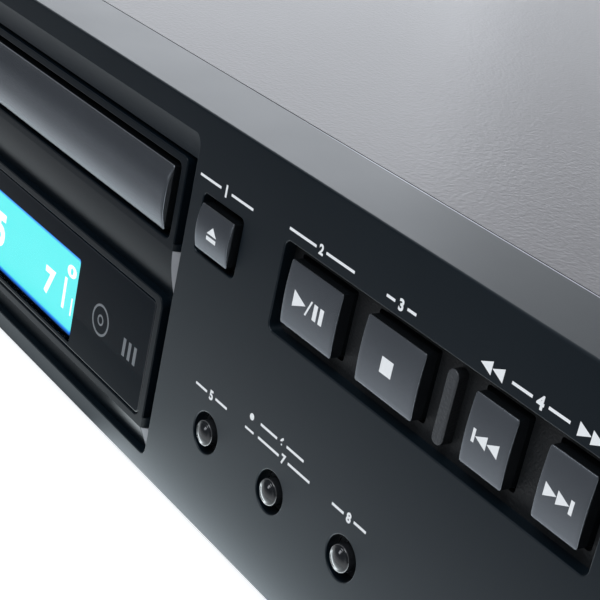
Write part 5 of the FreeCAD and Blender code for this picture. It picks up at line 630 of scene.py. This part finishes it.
LIT_LOW = np.array([-78.8, -30.2])
LIT_HIGH = np.array([-3.95, -10.4])
CLEAR_LOW = LIT_LOW - 0.6
CLEAR_HIGH = LIT_HIGH + (3.2, 1.9)
CLEAR_SHARE = 0.94
LENS_LOW = np.array([-118.4, -32.0])
LENS_HIGH = np.array([34.6, -3.3])
LENS_RIM = 0.45
lens_finish = Finish("smoked_window", roughness=0.08, specular_ior_level=0.055, coat_roughness=0.06)
lens_finish.give(base_color=lens_finish.blend(
    lens_finish.noise(4.0), (0.0004, 0.0026, 0.0056), (0.0012, 0.0036, 0.0066)))
lens_finish.give(coat_weight=beyond(lens_finish, LENS_LOW + LENS_RIM, LENS_HIGH - LENS_RIM, 1.2) > 0.0)
lens_finish.see_through((beyond(lens_finish, CLEAR_LOW, CLEAR_HIGH, 0.8) < 0.0) * CLEAR_SHARE)
dress(lens_finish, "window_lens")

glow_finish = Finish("liquid_crystal", base_color=(0.02, 0.03, 0.04), roughness=0.5, emission_strength=1.0)
edge = beyond(glow_finish, LIT_LOW, LIT_HIGH, 1.5)
shade = glow_finish.blend(glow_finish.noise(14.0), (0.12, 0.98, 0.98), (0.14, 1.0, 1.0))
rim = glow_finish.blend((edge + 0.6) * 1.5, shade, (0.012, 0.22, 1.0))
glow_finish.give(emission_color=glow_finish.blend((edge - 0.05) * 1.3, rim, (0.0, 0.002, 0.012)))
dress(glow_finish, "lcd_panel")

PRINT_PROUD = 0.03
PRINT_SINK = 0.02


def joined(shapes):
    """Points and faces of several shapes in one."""
    points, faces, start = [], [], 0
    for shape_points, shape_faces in shapes:
        points.append(np.asarray(shape_points))
        faces += [[index + start for index in face] for face in shape_faces]
        start += len(shape_points)
    return np.concatenate(points), faces


def facing_front(name, shapes, finish, body, slot=None):
    """Thin print from flat shapes in millimetres that face the front: partly sunk, partly proud."""
    points, faces = joined(shapes)
    made = add_object(name, points / 1000, faces, finish)
    skin = made.modifiers.new("thickness", "SOLIDIFY")
    skin.thickness = (PRINT_PROUD + PRINT_SINK) / 1000
    skin.offset = -1
    return place_piece(made, body, slot)


def patch(corners, surface):
    """One flat shape through (x, z) corners, each just in front of the surface at its height."""
    return [(x, surface(z) - PRINT_PROUD, z) for x, z in corners], [list(range(len(corners)))]


def slab_patch(x, z, surface):
    """Upright rectangle between two x and two z."""
    return patch([(x[0], z[0]), (x[1], z[0]), (x[1], z[1]), (x[0], z[1])], surface)


def numeral(text, x, z, surface):
    """Figures of the plain built-in face between two heights: stretched from the first x to the second,
    or in their own width about a single x."""
    curve = bpy.data.curves.new(text, "FONT")
    curve.body = text
    curve.offset = 0.04
    holder = bpy.data.objects.new(text, curve)
    mesh = bpy.data.meshes.new_from_object(holder)
    flat = np.array([vertex.co[:2] for vertex in mesh.vertices])
    low, high = flat.min(axis=0), flat.max(axis=0)
    share = (flat - low) / (high - low)
    if isinstance(x, float):
        half = (z[1] - z[0]) * (high - low)[0] / (high - low)[1] / 2
        x = (x - half, x + half)
    across = x[0] + share[:, 0] * (x[1] - x[0])
    up = z[0] + share[:, 1] * (z[1] - z[0])
    points = [(a, surface(u) - PRINT_PROUD, u) for a, u in zip(across, up)]
    faces = [list(face.vertices) for face in mesh.polygons]
    bpy.data.objects.remove(holder)
    return points, faces


def front_of(node):
    """Surface for prints on a flat node: its foremost depth at every height."""
    depth = 1000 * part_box(node)[0].y
    return lambda height: depth


figure_finish = Finish("lit_figures", base_color=(0.8, 0.9, 0.95), roughness=0.5, emission_strength=0.9)
figure_finish.give(emission_color=figure_finish.blend(figure_finish.noise(3.0), (0.92, 1.0, 1.0), (1.0, 1.0, 1.0)))
on_cell = front_of("lcd_panel")
figures = [
    numeral("12", (-76.0, -63.5), (-25.0, -15.5), on_cell), numeral("45", (-58.0, -45.2), (-25.0, -15.5), on_cell),
    numeral("7", (-21.0, -15.6), (-25.9, -18.6), on_cell), slab_patch((-10.8, -9.6), (-25.7, -17.4), on_cell),
    numeral("0", (-10.2, -5.6), (-16.5, -13.3), on_cell), slab_patch((-6.2, -5.6), (-26.0, -21.3), on_cell),
]
facing_front("cell_figures", figures, figure_finish, "chassis", slot="cell")


# Prints: white ink on the keys and the panel, a hair thick. The usual signs for moving through a
# disc are on the keys, and each key has a plain number between two bars; the window has a plain
# ring and three bars in grey.
ink_finish = Finish("white_ink", roughness=0.5, specular_ior_level=0.3)
ink_finish.give(base_color=ink_finish.blend(ink_finish.noise(0.4), (0.74, 0.75, 0.75), (0.79, 0.80, 0.80)))
grey_finish = Finish("grey_ink", roughness=0.5, specular_ior_level=0.3)
grey_finish.give(base_color=grey_finish.blend(grey_finish.noise(0.4), (0.13, 0.14, 0.15), (0.17, 0.18, 0.19)))


def on_panel(height):
    """The panel's face, which is as deep at every height."""
    return PANEL_FACE


def on_key(node, edge, bulge, half):
    """Surface of a cushioned key: a parabola of the height, proud of its edge by bulge."""
    middle = centres[node][1]
    return lambda z: edge - bulge * (1 - ((z - middle) / half) ** 2)


def triangle(x, z, surface):
    """Sideways triangle between two heights, from its flat side at the first x to its point at the second."""
    corners = [(x[0], z[0]), (x[1], (z[0] + z[1]) / 2), (x[0], z[1])]
    return patch(corners if x[1] > x[0] else corners[::-1], surface)


BAR_HALF = 0.28


def label(text, x, z):
    """A number between two bars, which together reach from the first x to the second."""
    middle, half = (x[0] + x[1]) / 2, 0.75 * (z[1] - z[0])
    bar = ((z[0] + z[1]) / 2 - BAR_HALF, (z[0] + z[1]) / 2 + BAR_HALF)
    return [numeral(text, middle, z, on_panel), slab_patch((x[0], middle - half), bar, on_panel),
            slab_patch((middle + half, x[1]), bar, on_panel)]


def disc(x, z, radius, surface, hole=0.0):
    """Round shape of 32 steps, or a ring where it has a hole."""
    turn = np.linspace(0.0, 2 * np.pi, 33)[:-1]
    rim = [(x + radius * np.cos(a), z + radius * np.sin(a)) for a in turn]
    if not hole:
        return patch(rim, surface)
    inner = [(x + hole * np.cos(a), z + hole * np.sin(a)) for a in turn]
    points = patch(rim + inner, surface)[0]
    count = len(turn)
    return points, [[n, (n + 1) % count, count + (n + 1) % count, count + n] for n in range(count)]


printed = label("1", (42.5, 63.0), (29.2, 31.9)) + label("2", (75.8, 97.4), (30.9, 33.1))
printed += label("3", (107.3, 116.0), (30.8, 33.2)) + label("4", (141.8, 155.8), (30.6, 33.2))
printed += label("5", (55.0, 67.5), (-14.0, -11.7)) + label("6", (79.7, 95.2), (-11.0, -8.7))
printed += label("7", (79.7, 98.3), (-14.0, -11.8)) + label("8", (106.0, 117.0), (-14.0, -11.8))
printed += [disc(76.4, -9.9, 0.75, on_panel), slab_patch((74.8, 78.0), (-13.25, -12.75), on_panel)]
printed += [triangle(x, (30.6, 33.2), on_panel)
            for x in ((139.7, 136.8), (136.7, 133.8), (157.7, 160.6), (160.7, 163.6))]
facing_front("panel_prints", printed, ink_finish, "chassis")

face = on_key("open_close_key", OPEN_FRONT, OPEN_BULGE, 5.05)
eject = [patch([(51.1, 20.65), (54.7, 20.65), (52.9, 22.4)], face), slab_patch((51.1, 54.7), (19.2, 20.1), face)]
facing_front("eject_sign", eject, ink_finish, "open_close_key")

face = on_key("play_key", PANEL_FACE, KEY_BULGE, KEY_HEIGHT / 2)
play = [triangle((81.8, 86.0), (18.0, 21.5), face),
        patch([(86.0, 18.0), (86.5, 18.0), (88.0, 21.5), (87.5, 21.5)], face),
        slab_patch((88.6, 89.8), (18.1, 21.4), face), slab_patch((90.6, 91.8), (18.1, 21.4), face)]
facing_front("play_sign", play, ink_finish, "play_key")
facing_front("stop_sign", [slab_patch((110.4, 113.8), (18.0, 21.2), face)], ink_finish, "stop_key")

SKIP_Z = (18.0, 20.6)
back = [slab_patch((136.6, 137.3), SKIP_Z, face)]
back += [triangle(x, SKIP_Z, face) for x in ((140.3, 137.4), (143.3, 140.4))]
facing_front("skip_back_sign", back, ink_finish, "skip_back_key")
ahead = [triangle(x, SKIP_Z, face) for x in ((154.8, 157.7), (157.8, 160.7))]
ahead.append(slab_patch((160.8, 161.6), SKIP_Z, face))
facing_front("skip_forward_sign", ahead, ink_finish, "skip_forward_key")

on_lens = front_of("window_lens")
window_marks = [disc(12.2, -18.4, 4.0, on_lens, 3.4), disc(12.2, -18.4, 1.4, on_lens, 0.9)]
window_marks += [slab_patch((x, x + 1.2), (-21.9, -17.4), on_lens) for x in (23.6, 26.1, 28.6)]
facing_front("window_marks", window_marks, grey_finish, "chassis")


# Level control: a fluted knob with a white index line, pushed on the shaft of its potentiometer,
# and beside it the nut and sleeve of the phones socket.
def turned_part(name, middle, profile, finish, ripple, columns=96):
    """Surface turned about an axis along the depth through middle: profile lists radius and depth;
    ripple changes the radii of a row by the angle."""
    angle = np.linspace(0.0, 2 * np.pi, columns, endpoint=False)
    rings = []
    for radius, y in profile:
        reach = radius + ripple(radius, y, angle)
        rings.append(np.stack([middle[0] + reach * np.cos(angle), np.full(columns, y),
                               middle[1] + reach * np.sin(angle)], axis=-1))
    return shell(name, rings, finish)


KNOB_MIDDLE = (-156.0, -21.8)
KNOB_FACE = -19.5
KNOB_RADIUS = 7.5
FLUTES = 24
FLUTE_DEPTH = 0.22


def fluted(radius, y, angle):
    """Rounded grooves along the grip: a cosine wave, which dies out on the collar and the face."""
    share = np.clip((-8.3 - y) / 0.8, 0.0, 1.0) * np.clip((radius - 6.3) / 0.8, 0.0, 1.0)
    return share * FLUTE_DEPTH * (np.cos(FLUTES * angle) - 1.0)


knob_finish = grained_plastic("knob_plastic", (0.010, 0.011, 0.013), 0.38, 0.4, 0.006)
profile = [(0.0, KNOB_FACE), (3.0, KNOB_FACE), (6.0, KNOB_FACE), (6.4, -19.6), (6.8, -19.8), (7.1, -19.72),
           (7.35, KNOB_FACE)]
profile += [(KNOB_RADIUS, y) for y in np.linspace(-19.1, -8.4, 12)]
profile += [(KNOB_RADIUS, -7.6), (KNOB_RADIUS, -6.95), (7.35, -6.8), (3.0, -6.8), (3.0, -0.2), (0.0, -0.2)]
place_piece(turned_part("knob_grip", KNOB_MIDDLE, profile, knob_finish, fluted), "level_knob", "knob", "level_knob")
line = slab_patch((-156.45, -155.55), (-19.0, -15.9), lambda height: KNOB_FACE)
facing_front("knob_line", [line], ink_finish, "level_knob")

SOCKET_MIDDLE = (-188.0, -21.8)
socket_finish = Finish("phones_socket", roughness=0.32)
x, y, z = socket_finish.axes()
off_x, off_z = x - SOCKET_MIDDLE[0], z - SOCKET_MIDDLE[1]
contact = ((off_x * off_x + off_z * off_z) ** 0.5 < 3.6) * (y < -3.0)
black = socket_finish.blend(socket_finish.noise(5.0), (0.010, 0.011, 0.012), (0.016, 0.017, 0.018))
plated = socket_finish.blend(socket_finish.noise(2.0), (0.60, 0.60, 0.58), (0.70, 0.70, 0.68))
socket_finish.give(base_color=socket_finish.blend(contact, black, plated), metallic=contact)
dress(socket_finish, "phones_jack")


# Case: a folded steel cover with a grained dark powder coat, on a zinc plated pan with a rear panel
# of the same sheet, held by black screws and standing on rubber feet. Two coated ears bolt to the sides.
cover_finish = Finish("grained_powder_coat", specular_ior_level=0.5)
cover_finish.patchy((0.131, 0.127, 0.134), 0.37, 60.0, 0.03, 0.03)
cover_finish.relief(cover_finish.cells(0.9, "SMOOTH_F1") + 0.6 * cover_finish.noise(0.6, 3.0), 0.07)
dress(cover_finish, "top_cover")
ear_finish = grained_plastic("ear_powder_coat", (0.012, 0.013, 0.015), 0.42, 0.5, 0.010)
dress(ear_finish, "rack_ear_left", "rack_ear_right")


def bare_metal(name, colour, roughness, patch_size, spread=0.06, grain=0.0):
    """Plain or plated metal with cloudy patches, and scratches along the depth where grain is given."""
    made = Finish(name, metallic=1.0)
    made.patchy(colour, roughness, patch_size, spread, 0.12)
    if grain:
        stretch = made.node("ShaderNodeVectorMath", {"operation": "MULTIPLY"}, {0: made.place, 1: (1.0, 0.03, 1.0)})
        made.relief(made.noise(grain, 2.0, stretch), 0.002)
    return made


zinc = bare_metal("zinc_plate", (0.56, 0.57, 0.57), 0.34, 25.0, 0.05, 0.25)
dress(zinc, "bottom_chassis", "rear_panel", "loader_brackets", "clamper_bridge", "traverse_plate")
dress(bare_metal("black_zinc", (0.06, 0.06, 0.065), 0.35, 3.0), "ear_screws", "case_screws")
dress(grained_plastic("foot_rubber", (0.012, 0.012, 0.012), 0.75, 0.8, 0.03), "feet")


# Tray and loader: black glass-filled mouldings; the gears, the pulley and the slider are natural
# acetal, the belt is rubber, and the small motors are plated cans.
tray_finish = grained_plastic("tray_moulding", (0.014, 0.014, 0.016), 0.45, 0.6, 0.012)
dress(tray_finish, "disc_tray", "turntable", "clamper")
loader_finish = grained_plastic("glass_filled_moulding", (0.022, 0.022, 0.024), 0.5, 0.5, 0.010)
dress(loader_finish, "loader_frame", "lift_frame", "optical_pickup")
acetal = Finish("natural_acetal", specular_ior_level=0.5, subsurface_weight=0.1, subsurface_scale=0.001)
acetal.patchy((0.78, 0.76, 0.68), 0.34, 6.0, 0.03, 0.06)
acetal.relief(acetal.noise(0.5), 0.002)
dress(acetal, "drive_gear", "pulley_gear", "motor_pulley", "sled_gear", "sled_pinion", "cam_slider")
dress(grained_plastic("belt_rubber", (0.014, 0.014, 0.015), 0.7, 0.3, 0.01), "drive_belt")
can_finish = bare_metal("plated_can", (0.62, 0.62, 0.61), 0.22, 8.0, 0.04, 0.2)
dress(can_finish, "loading_motor", "spindle_motor", "sled_motor", "level_pot")
dress(bare_metal("ground_steel", (0.72, 0.72, 0.73), 0.12, 10.0, 0.02), "guide_rods")
dress(grained_plastic("soft_damper", (0.020, 0.022, 0.050), 0.65, 0.6, 0.02), "dampers")

LENS_MIDDLE = (-41.9, 87.75)
GLASS_RADIUS = 2.3
lens_glass = Finish("coated_lens", roughness=0.08, specular_ior_level=0.8)
x, y, _ = lens_glass.axes()
off_x, off_y = x - LENS_MIDDLE[0], y - LENS_MIDDLE[1]
mount = (off_x * off_x + off_y * off_y) ** 0.5 > GLASS_RADIUS
coated = lens_glass.blend(lens_glass.noise(1.5), (0.10, 0.09, 0.28), (0.16, 0.12, 0.36))
lens_glass.give(base_color=lens_glass.blend(mount, coated, (0.02, 0.02, 0.022)))
dress(lens_glass, "objective_lens")


# Boards: green solder mask over copper tracks, with chips, capacitors and connectors; the boards
# behind the front panel, the light box of the display, and the ribbon cable to the main board.
MASK = (0.014, 0.10, 0.04)
TRACK = (0.035, 0.19, 0.07)
TRACK_PITCH = 1.8


def circuit_board(name, axis):
    """Solder mask over tracks a pitch apart across one axis, which step to and fro with a noise."""
    made = Finish(name, specular_ior_level=0.5, roughness=0.3)
    step = made.maths("SNAP", made.noise(18.0, 0.0), 0.25) * 30.0
    wave = made.maths("FRACT", (made.axes()[axis] + step) / TRACK_PITCH)
    line = (wave > 0.62) * (made.noise(22.0) > 0.45)
    cloud = made.blend(made.noise(30.0), MASK, tuple(1.15 * c for c in MASK))
    made.give(base_color=made.blend(line, cloud, TRACK))
    made.relief(line, 0.03)
    return made


dress(circuit_board("green_board", 0), "main_board", "power_board")
dress(circuit_board("front_board", 2), "key_board", "display_board")

CAN_TOPS = -12.0
chip_finish = Finish("components", roughness=0.4)
parts = chip_finish.blend(chip_finish.noise(14.0) > 0.5, (0.016, 0.016, 0.017), (0.02, 0.022, 0.05))
parts = chip_finish.blend(chip_finish.axes()[2] > CAN_TOPS, parts, (0.62, 0.62, 0.62))
chip_finish.give(base_color=chip_finish.blend(chip_finish.noise(3.0) * 0.15, parts, (0.3, 0.3, 0.3)))
dress(chip_finish, "board_parts")
dress(grained_plastic("switch_body", (0.03, 0.03, 0.032), 0.4, 0.5, 0.01), "switches")
dress(grained_plastic("white_light_box", (0.80, 0.80, 0.77), 0.45, 0.6, 0.01), "lcd_holder")

LANE_PITCH = 1.25
ribbon = Finish("ribbon_cable", roughness=0.4)
gap = ribbon.maths("FRACT", ribbon.axes()[0] / LANE_PITCH) > 0.55
ribbon.give(base_color=ribbon.blend(gap, (0.74, 0.74, 0.72), (0.48, 0.48, 0.47)))
ribbon.relief(gap, 0.05)
dress(ribbon, "flex_cable")

SHEET_PAIR = 0.6
iron = Finish("varnished_core", roughness=0.42)
sheet = iron.maths("FRACT", iron.axes()[2] / SHEET_PAIR) > 0.5
iron.give(base_color=iron.blend(sheet, (0.09, 0.09, 0.10), (0.14, 0.14, 0.15)))
iron.relief(sheet, 0.03)
dress(iron, "transformer")


# Rear: a row of plated output sockets, a square optical output in black, and the black three-pin
# mains inlet with bright pins, all fixed to the rear panel.
OUTSIDE = 264.9
OPTICAL_FROM = 158.0
jack_finish = Finish("output_sockets", roughness=0.25)
x, y, _ = jack_finish.axes()
collars = (y > OUTSIDE) * (x < OPTICAL_FROM)
plated = jack_finish.blend(jack_finish.noise(3.0), (0.80, 0.66, 0.36), (0.86, 0.72, 0.42))
dark = jack_finish.blend(jack_finish.noise(5.0), (0.014, 0.014, 0.015), (0.02, 0.02, 0.021))
jack_finish.give(base_color=jack_finish.blend(collars, dark, plated), metallic=collars)
dress(jack_finish, "rear_jacks")

INLET_MIDDLE = (-172.0, -8.0)
PIN_DEPTH = 243.5
inlet_finish = Finish("mains_inlet", roughness=0.35)
x, y, z = inlet_finish.axes()
pins = (abs(x - INLET_MIDDLE[0]) < 9.5) * (abs(z - INLET_MIDDLE[1]) < 4.5) * (y > PIN_DEPTH)
dark = inlet_finish.blend(inlet_finish.noise(5.0), (0.012, 0.012, 0.013), (0.018, 0.018, 0.019))
inlet_finish.give(base_color=inlet_finish.blend(pins, dark, (0.70, 0.70, 0.70)), metallic=pins)
dress(inlet_finish, "ac_inlet")
